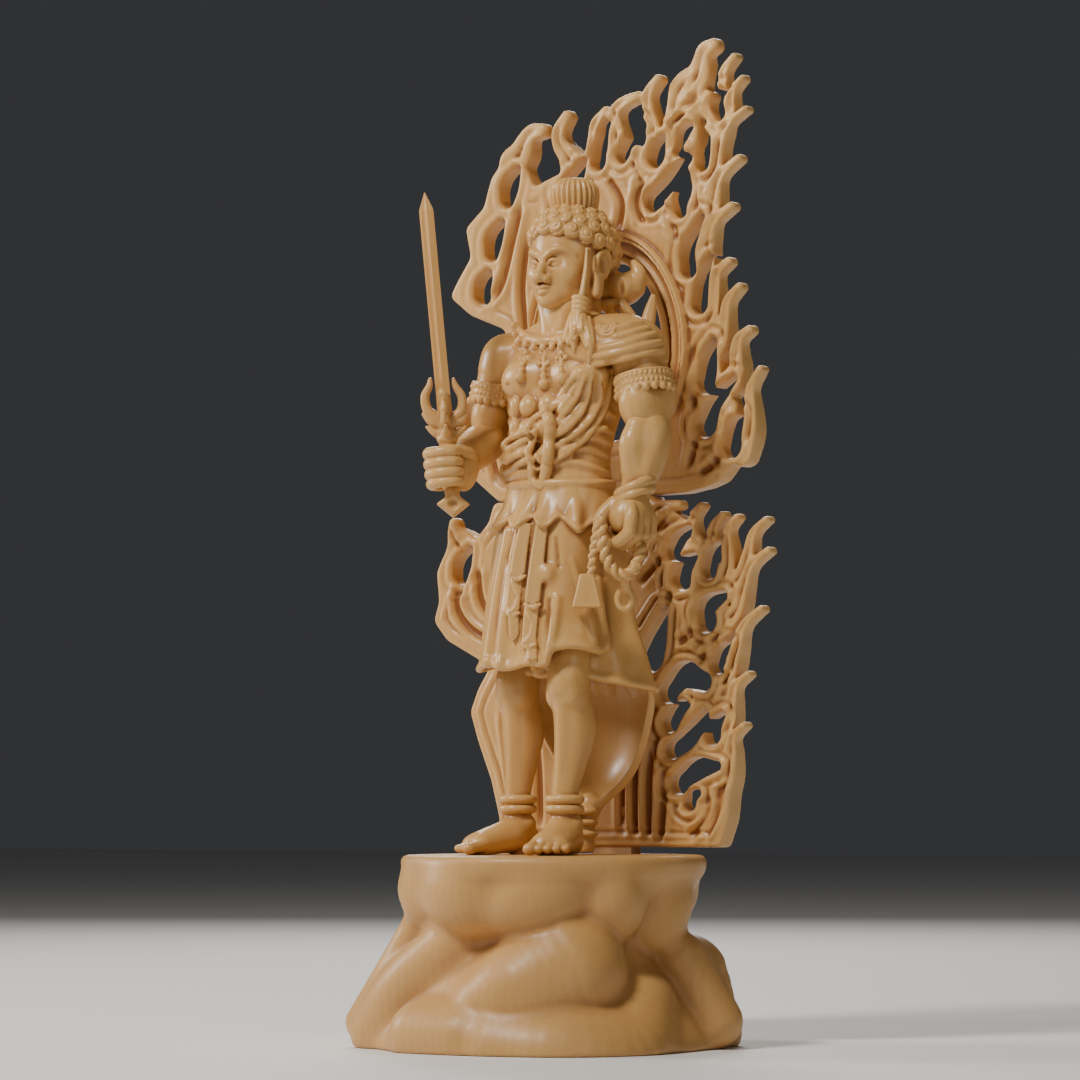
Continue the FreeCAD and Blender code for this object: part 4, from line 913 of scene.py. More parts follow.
# ------------------------------------------------------------------ the torso
def torso():
    clay = Clay((-34, -13, level(104.5)), (37, 27, level(165)), 0.36)
    clay.add(tower([(level(103), 0, 7, 16.4, 12), (level(108), 0, 7, 16.6, 12),
                    (level(115), 0, 7.2, 15.6, 11.4), (level(122), 0, 7.6, 16.4,
                            11.6), (level(130), 0.5, 8, 18.4, 12.4), (level(138), 1, 8.6, 20.4,
                            12.4), (level(144), 1, 9, 21.5, 11.6), (level(149), 1, 9.5, 19.5,
                            10), (level(153), 0.8, 9.5, 13, 8.6), (level(157), 0.5, 9.5, 9,
                            8.2), (level(161), 0.5, 9.5, 8, 8), (level(166), 0.5, 9.5, 7.8, 7.8)]))
    for side in (-1, 1):
        mid = 1 + 0.4 * side
        clay.add(bone(at(mid + 5 * side, 11.5, 158), at(mid + 18 * side, 10.5, 150.5), 3.2, 5), 4)
        clay.add(egg(at(mid + 8.8 * side, 0.6, 140.5), (8.6, 5.4, 6.6), turn_of(roll=8 * side)),
                 1.6)
        clay.add(bone(at(mid + 2 * side, 1.2, 151.5), at(mid + 14 * side, 3.2, 152.5), 1.1, 1.1), 2)
        for z, y, tall in ((131.8, -3.4, 3.4), (125.2, -3.8, 3.2), (118, -3.2, 3.2)):
            clay.add(egg(at(3.5 * side - 0.5, y - 0.5, z), (3.2, 2.6, tall)), 0.5)
            clay.add(egg(at(9 * side - 0.5, y + 0.9, z + 0.4), (2.2, 2.2, tall)), 0.5)
        for i, z in enumerate((133, 129.5, 126, 122.4)):
            clay.add(bone(at((10 + i * 0.3) * side, -2.4 + i * 0.15, z), at(17 * side, 4.5,
                                    z + 2.8), 1.3, 1.1), 1.2)
        clay.add(bone(at(1.2 * side, 2.2, 152), at(5.6 * side, 4.4, 163.5), 1, 1.3), 1.6)
    clay.add(egg(at(-21.6, 8.4, 147.2), (7.7, 8, 8.4)), 3.5)
    clay.add(path([(-22.4, 7.6, 143, 7.3), (-24, 7, 137.6, 6.7)]), 2)
    clay.cut(bone(at(1, -6.2, 147), at(1, -6, 135), 0.5, 0.6), 2)
    clay.add(egg(land(clay, -12.1, 139.3, 0.2), (0.8, 0.8, 0.8)), 0.3)

    # cape over the left shoulder
    cape = egg(at(19, 9, 147.5), (15.8, 13.2, 11.6))
    drop = egg(at(9, 5.4, 150), (11.5, 9.5, 8.5))

    def cloth(x, y, z):
        body = smooth_min(cape.distance(x, y, z), drop.distance(x, y, z), 4)
        z = z - SOLE
        hem = 143.0 + 0.10 * (x - 20) + 0.5 * np.sin(x * 0.6 + y * 0.35)
        body = smooth_max(body, hem - z, 1.2)
        inner = 6.2 - x + (z - 152) * 0.3
        return smooth_max(body, inner, 1.5)

    clay.add(Form(at(2, -8, 140), at(36, 26, 162), cloth), 0.5)
    for rows in [
        [(9.1, 141.8, 1), (15.3, 142.2, 1.1), (22.7, 143.4, 1.1), (29.5, 144.9, 1.1),
         (34.8, 145.8, 0.9)],
        [(11.2, 144, 0.6), (18.3, 145.2, 0.9), (27.1, 147.3, 1), (33.9, 148.8, 0.9)],
        [(13.6, 146.7, 0.6), (19.8, 147.9, 1), (27.2, 149.9, 1), (33.1, 151.1, 0.8)],
        [(15.3, 149.4, 0.5), (21.2, 150.5, 0.9), (27.2, 152.3, 1), (31.6, 153.5, 0.7)],
        [(19.8, 152.9, 0.5), (24.8, 154.1, 0.9), (29.5, 155.3, 0.7)],
        [(20.7, 155.6, 0.4), (24.8, 156.8, 0.7), (27.8, 157.1, 0.5)],
    ]:
        clay.add(lay(clay, rows, 0.25), 1)
    s0, z0 = 17.1, 155.9
    for half in (0.6, 1.7, 2.75):
        rows = [(s0 + half * math.cos(a), z0 + half * math.sin(a), 0.5)
                for a in np.radians(np.arange(-200, 30, 20))]
        clay.add(lay(clay, rows, 0.3, 2), 0.2)

    # ribs below the left arm
    for rows in [
        [(1.1, 114.4, 0.5), (5.3, 115.6, 0.9), (10, 115, 1), (17.7, 112, 0.6)],
        [(7.6, 119.4, 0.5), (11.8, 119.7, 0.9), (18, 117.3, 0.5)],
        [(10.9, 122.7, 0.5), (14.4, 122.7, 0.9), (18.6, 120.9, 0.5)],
        [(13.5, 125.9, 0.5), (16.2, 125.6, 0.8), (19.2, 124.4, 0.4)],
        [(15.9, 130.1, 0.4), (17.7, 130.1, 0.8), (19.7, 129.2, 0.4)],
    ]:
        clay.add(lay(clay, rows, 0.1), 1)

    # sash from under the cape to the knot, then round the right hip
    bare = clay.copied()
    for rows in [
        [(10, 141.6, 2.6), (7.4, 135.7, 2.6), (3.8, 130.1, 2.4), (1.4, 127.4, 2)],
        [(12.4, 141.6, 2.8), (10.3, 133.9, 2.8), (6.2, 127.7, 2.6), (1.7, 123.3, 2)],
        [(15.3, 141.6, 2.8), (13.8, 133.3, 2.8), (9.4, 125.9, 2.6), (2.3, 119.7, 2)],
        [(17.4, 141, 1.8), (15.9, 132.7, 2.2), (11.2, 124.4, 2), (2.6, 117.3, 1.8)],
        [(0, 126.8, 1.8), (-5.9, 123.9, 2.2), (-12.1, 120.3, 2)],
        [(0, 122.7, 1.8), (-5.9, 120.3, 2.2), (-12.1, 116.7, 2)],
        [(0, 117.9, 1.8), (-5.9, 116.2, 2.2), (-12.4, 113.2, 2)],
        [(0.6, 113.2, 1.8), (-5.9, 112.6, 2.2), (-12.7, 110.8, 2)],
    ]:
        clay.add(lay(bare, rows, -1.5), 1)
    bare = clay.copied()
    folds = [
        [(7.6, 140.7, 0.9), (5, 137.2, 0.9), (1.2, 131, 0.9)],
        [(10.9, 140.7, 0.7), (8.5, 134.5, 1), (1.7, 126.5, 0.8)],
        [(13, 140.4, 0.5), (11.5, 133, 1), (7.1, 126.8, 1), (1.4, 122.7, 0.8)],
        [(15.9, 140.4, 0.6), (15.3, 133.3, 1.1), (10.9, 126.2, 1), (1.1, 119.4, 0.8)],
        [(18.9, 140.2, 0.7), (17.1, 131.6, 0.9), (11.2, 122.7, 0.9), (1.7, 115.6, 0.8)],
        [(-4.8, 125.6, 0.6), (-8.9, 123.6, 1), (-12.1, 121.8, 0.9)],
        [(-4.8, 123, 0.7), (-8.9, 120.9, 1), (-12.1, 119.1, 0.9)],
        [(-4.8, 120, 0.7), (-8.9, 117.6, 1), (-12.1, 115.9, 0.9)],
        [(-4.8, 116.7, 0.7), (-8.9, 114.7, 1), (-12.4, 112.6, 0.9)],
    ]
    for rows in folds:
        clay.add(lay(bare, rows, -0.1), 0.7)
        under = [(a + 0.3, b - 1.25, 0.25) for a, b, _ in rows]
        clay.cut(lay(bare, under, 0.15), 0.7)
    knot = [
        [(-0.9, 130.4, 1.5), (0.3, 128, 1.9), (0.6, 123.9, 1.9), (0, 117.6, 1.8),
         (-0.6, 112.6, 1.8), (-1.8, 108.5, 1.3)],
        [(-1.2, 130.1, 1.2), (-4.5, 127.7, 1.4), (-6.2, 125.3, 1.2), (-5.3, 123.9, 0.9),
         (-3.6, 125, 0.7)],
        [(-3.6, 125, 0.7), (-4.5, 121.5, 1.1), (-5.9, 118.2, 1.1), (-4.7, 115.9, 0.9),
         (-3.3, 117.6, 0.7)],
        [(-3.3, 117.6, 0.7), (-2.4, 115.6, 0.8), (-2.7, 113.8, 0.8), (-4.2, 114.4, 0.7)],
        [(-5, 116.2, 0.8), (-5, 112.6, 1.2), (-4.2, 109.6, 1.3), (-1.8, 108.2, 1.3)],
    ]
    for rows, out in zip(knot, (0.7, 0.9, 0.8, 0.7, 0.7)):
        clay.add(lay(bare, rows, out), 0.35)
    for s, z in [(-5, 123), (-3.3, 120), (-3.3, 114.7), (-2.7, 111.7)]:
        clay.cut(egg(land(clay, s, z, 0.3), (1, 1.2, 1.3)), 0.4)

    # necklace, its fringe and three pendants
    bare = clay.copied()
    band = [(-9.9, 156.2), (-8, 154), (-5.6, 152.3), (-2.1, 151.4), (1.7, 151.6), (5.6, 152.5),
            (7.9, 153.7)]
    for drop, half, out in ((0, 1.05, 0.2), (0.95, 0.4, 0.75), (-0.9, 0.35, 0.7)):
        clay.add(lay(bare, [(s, z + drop, half) for s, z in band], out), 0.15)
    fringe = [(-9.8, 153.5, 0.95), (-8.5, 151.7, 1), (-6.5, 150.4, 1.05), (-4, 149.7, 1.1),
              (-1.4, 149.4, 1.15), (1.3, 149.6, 1.15), (3.8, 150.3, 1.1), (6.2, 151.3, 1.05)]
    for s, z, half in fringe:
        clay.add(egg(land(bare, s, z, 0.45), (half, half, half * 1.15)), 0.15)
        clay.add(egg(land(bare, s, z + 0.9, 0.5), (half * 0.7, half * 0.7, half * 0.6)), 0.1)
    for s, z in [(-6.7, 146.4), (-1.1, 144.9), (4, 146.4)]:
        for a, b in ((0, 0), (1.25, 0.1), (-1.25, -0.1), (0, 1.35), (0, -1.1)):
            clay.add(egg(land(bare, s + a, z + b, 0.5), (0.85, 0.85, 0.85)), 0.15)
        clay.add(lay(bare, [(s, z + 1.2, 0.35), (s + 0.2, z + 3.6, 0.35)], 0.3), 0.1)
    for s, z, half in [(-7.4, 144.5, 1), (-7.8, 142.7, 1.05), (-8.3, 140.7, 1.6), (-1.3, 142.8, 1),
                       (-1.3, 141, 1.1), (-1.2, 138.7, 1.7), (4, 144.2, 1), (4, 142.5, 1.1), (4.2,
                            140.3, 1.7)]:
        clay.add(egg(land(bare, s, z, 0.55), (half, half, half)), 0.2)
    lock_ends(clay)
    figure_piece("torso", clay)


def lock_ends(clay):
    """The loose ends of the side lock, spread on the cape below its knot."""
    for rows in [
        [(9.7, 159.7, 1.5), (8.5, 156.2, 1.7), (7.7, 152.6, 1.5), (7.7, 148.5, 0.5)],
        [(10.9, 159.7, 1.5), (11.8, 155.3, 1.8), (12.7, 150.2, 1.5), (12.1, 144.9, 0.4)],
        [(10.3, 159.7, 1.2), (10, 155.9, 1.4), (10.6, 152.3, 1), (11.5, 149.4, 0.4)],
    ]:
        clay.add(lay(clay, rows, 0.5), 0.2)
        fine = [(s + 0.55, z, 0.25) for s, z, _ in rows[:3]]
        clay.cut(lay(clay, fine, 0.1), 0.3)


def side_lock():
    clay = Clay((4, -9, level(147)), (18, 12, level(181)), 0.28)
    top, tie = at(11.2, 4.4, 178.5), at(12.4, -0.6, 161.8)
    for shift in (-0.6, 0.5):
        clay.add(strand([(*(top + (0.2, shift, 0)), 0.45), (*(at(12.3, 2.6,
                                172) + (0, shift, 0)), 0.75), (*(at(12.5, 0.8,
                                166) + (0, 0.8 * shift, 0)), 0.95), (*tie, 1.3)]), 0.15)
    lean = turn_of(pitch=-18, roll=8)
    for rise in (-1.5, 0, 1.5):
        clay.add(ring(tie + (0, 0.1 * rise, rise - 0.6), 2.2, 2.2, 0.85, lean), 0.1)
    clay.add(egg(tie - (0, 0, 0.6), (2.2, 2.2, 2.4)), 0.2)
    for dx, dy in ((-2.8, -4), (-0.4, -4.6), (1.4, -5)):
        clay.add(strand([(*tie, 1.3), (*(tie + (dx * 0.6, dy * 0.5, -5)), 1.5),
                         (*(tie + (dx, dy, -11)), 0.7)]), 0.2)
    figure_piece("side_lock", clay, "hair_lock")


def nape_bow():
    clay = Clay((-2, 12, level(149)), (25, 29.3, level(181)), 0.34)
    clay.add(egg(at(12.6, 21.6, 168.6), (5.6, 5.6, 5.4), turn_of(roll=14)))
    clay.add(bone(at(4, 19, 167.6), at(9, 21, 168), 3.4, 3.8), 1.5)
    clay.add(path([(8.4, 19.5, 167, 2.6), (7.6, 20, 171.5, 2.4), (9.4, 20.4, 175, 1.5)]), 0.8)
    clay.add(path([(16.4, 22, 168, 2.8), (17.4, 22, 172, 2.4), (15.6, 22, 175.4, 1.4)]), 0.8)
    clay.cut(path([(12.6, 16, 176, 1.7), (12.6, 21, 173.4, 1.9), (12.6, 27, 176, 1.7)]), 0.9)
    clay.cut(path([(14.4, 15.6, 171.5, 0.5), (15, 17, 168, 0.6), (14.6, 17.6, 164, 0.4)]), 0.8)
    for side in (-1, 1):
        clay.add(path([(10 + 2 * side, 19, 164.6, 1.5), (12 + 2.6 * side, 19, 161.6, 1.8),
                       (14 + 3.4 * side, 20, 159, 0.8)]), 0.6)
    clay.add(egg(at(8.2, 19, 163.2), (5, 3.6, 1.9), turn_of(roll=-10)), 0.5)
    clay.add(path([(19, 19.6, 150, 2), (19.4, 23, 156, 2.2), (19.8, 24.4, 161, 1.9),
                   (20.6, 24.8, 165.4, 1)], flat=(TOWARD, 0.6)), 0.6)
    figure_piece("nape_bow", clay)


# -------------------------------------------------------------- arms and hands
def armlet(clay, spot, half, turn):
    """Two cords with two rows of beads between them and a scalloped fringe below."""
    def way(i, count):
        a = 2 * math.pi * i / count
        return math.cos(a) * turn[0] + math.sin(a) * turn[1]

    for rise, thick in ((2.5, 0.6), (0.45, 0.4), (-1.6, 0.6)):
        clay.add(ring(spot + turn[2] * rise, half, half, thick, turn), 0.15)
    clay.add(ring(spot + turn[2] * 0.45, half - 0.5, half - 0.5, 0.9, turn, 2.2), 0.2)
    for rise in (1.5, -0.6):
        for i in range(36):
            clay.add(egg(spot + way(i, 36) * (half + 0.35) + turn[2] * rise, (0.55, 0.55, 0.55)),
                     0.1)
    for i in range(20):
        clay.add(egg(spot + way(i, 20) * half - turn[2] * 2.6, (1.15, 1.15, 1.2)), 0.1)


def right_upper_arm():
    clay = Clay((-36, -5, level(115)), (-12, 20, level(157)), 0.36)
    clay.add(path([(-23.6, 7.2, 139.6, 6.2), (-24, 7, 136, 6.5), (-25, 6.4, 129, 6.4),
                   (-25.4, 6, 123.5, 5.4)]), 2)
    clay.add(egg(at(-24.6, 2.8, 130.6), (4.6, 4.4, 6)), 2)
    clay.add(egg(at(-25.8, 9.6, 131), (4.6, 4.4, 6)), 2)
    clay.add(egg(at(-25.5, 9, 123), (3.6, 3.4, 3.8)), 2)
    armlet(clay, at(-24, 6.8, 137.2), 7.5, turn_of(pitch=-4, roll=8))
    figure_piece("right_upper_arm", clay)


def right_forearm():
    clay = Clay((-36, -21, level(106)), (-12, 14, level(133)), 0.36)
    clay.add(path([(-25.4, 5.4, 123.6, 5.6), (-25, 0, 121.5, 6.3), (-24, -6, 119, 5.6),
                   (-22.6, -11, 116.8, 4.6), (-21.4, -16, 115.2, 4.3)]))
    clay.add(path([(-22, 4, 125, 2.6), (-20.6, -1, 122.6, 3.4), (-21, -7, 119.4, 2.8)]), 2)
    clay.add(path([(-26.4, -12.5, 117, 0.4), (-21.5, -12.5, 121.6, 0.4),
                   (-17.4, -11.5, 116, 0.4)]), 0.8)
    figure_piece("right_forearm", clay)


SWORD_LINE = np.array([-0.0747, -0.0548, 0.9957])
FIST = np.array([-20, -21.5, 113])


def on_sword(rise, out=0.0, bearing=0.0):
    """A point beside the sword's line: rise along it from the fist's middle."""
    a = math.radians(bearing)
    return at(*(FIST + SWORD_LINE * rise + np.array([math.cos(a), math.sin(a), 0]) * out))


def right_hand():
    clay = Clay((-32, -33, level(102)), (-8, -8, level(125)), 0.26)
    clay.add(egg(on_sword(0, 1, 130), (4.4, 4.8, 6.2)))
    clay.add(egg(at(-19, -16.4, 112.6), (3.9, 4.8, 5.9)), 2)
    clay.add(egg(at(-22.4, -17, 113.8), (4.2, 4.8, 5.8)), 2)
    clay.add(bone(at(-21.4, -11.5, 115.2), at(-20.4, -15.5, 114.2), 4.3, 4.5), 2)
    for i, rise in enumerate((4.7, 1.65, -1.35, -4.2)):
        thick = (1.75, 1.8, 1.75, 1.55)[i]
        turns = [(-222, 4.8), (-190, 5.3), (-160, 5.6), (-128, 5.9), (-96, 5.4), (-66, 4.9),
                 (-38, 4.6), (-14, 4.1)]
        sizes = (0.9, 0.98, 1.05, 1.08, 0.98, 0.96, 0.98, 0.9)
        clay.add(strand([(*on_sword(rise + 0.5 * math.cos(math.radians(b)), out, b), thick * grow)
                         for (b, out), grow in zip(turns, sizes)], count=3), 0.22)
    clay.add(path([(-19.4, -12.6, 116.2, 2.4), (-17, -16, 117.4, 2.1), (-17, -19.4, 118.2, 1.9),
                   (-18.4, -22.6, 118.6, 1.8), (-20.2, -25, 118.2, 1.5)]), 0.35)
    figure_piece("right_hand", clay)


def left_upper_arm():
    clay = Clay((15, -7, level(113)), (44, 22, level(153)), 0.36)
    clay.add(path([(25.6, 9, 147, 8.2), (28, 8.4, 140, 7.6), (30, 7.4, 132, 7.2),
                   (31.6, 6.4, 124.6, 5.6)]))
    clay.add(egg(at(30.2, 2.6, 131.6), (5.6, 5, 7.2)), 2)
    clay.add(egg(at(33.4, 10.2, 134), (4.6, 4.8, 8)), 2)
    clay.add(egg(at(33.4, 9.4, 122.8), (3.8, 3.6, 3.8)), 2)
    armlet(clay, at(29.4, 7.4, 137.4), 8.3, turn_of(pitch=-2, roll=-12))
    figure_piece("left_upper_arm", clay)


def left_forearm():
    clay = Clay((20, -10, level(98)), (43, 17, level(133)), 0.36)
    clay.add(path([(32.2, 6.2, 126, 5.2), (32.8, 5, 120.5, 6.5), (32, 3.8, 114, 5.9),
                   (30.6, 2.2, 108, 4.7), (29.8, 1.4, 103, 4.3)]))
    clay.add(path([(31.4, 0.4, 124.5, 3), (31, -1.2, 119, 3.8), (30.2, -0.4, 112.5, 3)]), 2)
    clay.add(path([(35.6, 4, 124, 1.6), (35.8, 2, 117.5, 1.9), (33.8, 0.6, 110, 1.2)]), 1.8)
    lean = turn_of(pitch=10, roll=-20)
    for rise in (104.4, 106.9):
        clay.add(ring(at(29.9 + (rise - 104) * 0.12, 1.6, rise), 5.5, 5.5, 1.3, lean), 0.2)
    figure_piece("left_forearm", clay)


def left_hand():
    clay = Clay((16, -13, level(84)), (40, 13, level(108)), 0.3)
    clay.add(path([(29.8, 1.3, 104.5, 4.4), (29.6, 0.6, 101, 5.2)]))
    clay.add(egg(at(29.2, 0.2, 98), (6.2, 7.2, 6.4)), 2)
    for i in range(4):
        y = -5.6 + 3.6 * i
        drop = abs(i - 1.2) * 0.5
        clay.add(path([(31, 0.4 + y * 0.45, 103, 1.5), (33.3, y * 0.85, 98.6, 1.9),
                       (33, y, 92.8 + drop, 2)]), 0.3)
        clay.add(path([(33, y, 92.6 + drop, 2), (28.8, y, 90 + drop, 1.8),
                       (25.6, y * 0.9, 91.6 + drop, 1.7), (25.2, y * 0.9, 94, 1.5)]), 0.3)
    clay.add(path([(26, -2.8, 102, 2.4), (23.6, -5.8, 98, 2.3), (24.2, -7.4, 93.6, 2),
                   (26.4, -7.8, 90.6, 1.8)]), 0.5)
    figure_piece("left_hand", clay)


# --------------------------------------------------------- the rope and weight
def rope():
    clay = Clay((12, -18, level(67)), (42, 12, level(104)), 0.3)
    twisted(clay, [(25.2, -9.6, 98.2), (24.4, -9.9, 93), (23.4, -10, 87.4), (22.4, -9.8, 80)],
            1.35, 5.2)
    twisted(clay, [(25.6, -9.2, 97), (26, -9, 90.5), (26.9, -8.2, 85.6), (28.4, -7, 82.4),
                   (30.6, -5.2, 80.9), (32.6, -3.2, 82.2), (33.4, -1.2, 86), (33, 0.6,
                            90)], 1.8, 6.2)
    eye = turn_of(yaw=40, pitch=90)
    clay.add(ring(at(28.8, -1.8, 74.2), 2.1, 2.9, 1, eye))
    clay.add(bone(at(29.2, -2.4, 77.4), at(30, -4, 80.4), 1.6, 1.8), 0.6)
    figure_piece("rope", clay, "rope_lasso")


def weight():
    low, high = edges("rope_weight")
    mid = (low + high) / 2
    clay = Clay(low - 2, high + 2, 0.25)
    turn = turn_of(yaw=36)
    tall = high[2] - low[2]

    def distance(x, y, z):
        p = [x - mid[0], y - mid[1]]
        a = np.abs(turn[0][0] * p[0] + turn[0][1] * p[1])
        b = np.abs(turn[1][0] * p[0] + turn[1][1] * p[1])
        half = 4.3 - 2.3 * (z - low[2]) / tall
        sides = smooth_max(a - half, b - half, 0.5) * 0.97
        return smooth_max(sides, np.abs(z - mid[2]) - tall / 2 + 0.05, 0.5)

    clay.add(Form(low, high, distance))
    figure_piece("weight", clay, "rope_weight")


# ------------------------------------------------------------------- the sword
BLADE_SECTION = [(2.65, 0), (1.05, 1.2), (0.6, 1), (0, 0.92), (-0.6, 1), (-1.05, 1.2), (-2.65, 0),
                 (-1.05, -1.2), (-0.6, -1), (0, -0.92), (0.6, -1), (1.05, -1.2)]


def blade():
    """A straight bar with a ridge either side of a shallow fuller and a short point."""
    root = at(*(FIST + SWORD_LINE * 22))
    rise = (edges("sword_blade")[1][2] - root[2]) / SWORD_LINE[2]
    rows = [(0, 1), (rise - 5.6, 1), (rise - 5.2, 0.97), (rise - 0.5, 0.13), (rise - 0.1, 0.03)]
    spots = [root + SWORD_LINE * h + np.array([a * share, b * share, 0])
             for h, share in rows for a, b in BLADE_SECTION]
    count = len(BLADE_SECTION)
    faces = [(r * count + i, r * count + (i + 1) % count, (r + 1) * count + (i + 1) % count,
              (r + 1) * count + i) for r in range(len(rows) - 1) for i in range(count)]
    faces += [tuple(range(count))[::-1], tuple(range((len(rows) - 1) * count, len(rows) * count))]
    mesh = bpy.data.meshes.new("sword_blade_carving")
    mesh.from_pydata([tuple(spot * MM) for spot in spots], [], faces)
    show("sword_blade_carving", mesh, "sword", ["sword_blade"], SWORD_WOOD)


def sword():
    blade()
    clay = Clay((-31, -33, level(118)), (-11, -12, level(142)), 0.26)
    clay.add(bone(on_sword(7.2), on_sword(22), 2.5, 2.1))
    clay.add(egg(on_sword(8.8), (3.1, 3.1, 1.9)), 0.4)

    def prong(bearing, rows, k):
        clay.add(strand([(*on_sword(rise, out, bearing), half) for rise, out, half in rows]), k)

    for bearing in (-144, 36, -54, 126):
        prong(bearing, [(9.6, 0.5, 1.6), (10.8, 3.4, 1.2), (12.4, 5.6, 0.5)], 0.6)
        prong(bearing, [(13.4, 1, 1.7), (14.2, 4.2, 1.3), (16.2, 6.4, 0.5)], 0.6)
    for bearing in (-144, 36):
        prong(bearing, [(14.6, 2, 1.7), (17.4, 4.9, 1.5), (21.4, 5.4, 1.3), (24.6, 3.8, 1),
                        (26.6, 3.4, 0.6)], 0.4)
    prong(-54, [(14.6, 2, 1.5), (17.2, 4, 1.2), (19.4, 3.4, 0.8), (20.6, 3.9, 0.5)], 0.4)
    carve("sword_guard_carving", clay, "sword", ["sword_guard"], SWORD_WOOD)

    clay = Clay((-29, -31, level(95)), (-11, -12, level(108)), 0.26)
    clay.add(bone(on_sword(-6.8), on_sword(-9), 2.2, 2))
    across = turn_of(yaw=36)

    def diamond(x, y, z):
        mid = on_sword(-10.6)
        p = [x - mid[0], y - mid[1], z - mid[2]]
        a = np.abs(across[0][0] * p[0] + across[0][1] * p[1])
        b = np.abs(across[1][0] * p[0] + across[1][1] * p[1])
        return smooth_max((a / 4.9 + np.abs(p[2] - 0.2) / 4.0 - 1) * 3.1, b - 2.6, 1.2)

    clay.add(Form(on_sword(-10.6) - 6, on_sword(-10.6) + 6, diamond), 0.6)
    for bearing in (-54, 126):
        clay.cut(egg(on_sword(-10.4, 3.1, bearing), (1.6, 1.6, 1.7)), 0.6)
    carve("sword_pommel_carving", clay, "figure", ["sword_pommel"], SWORD_WOOD)


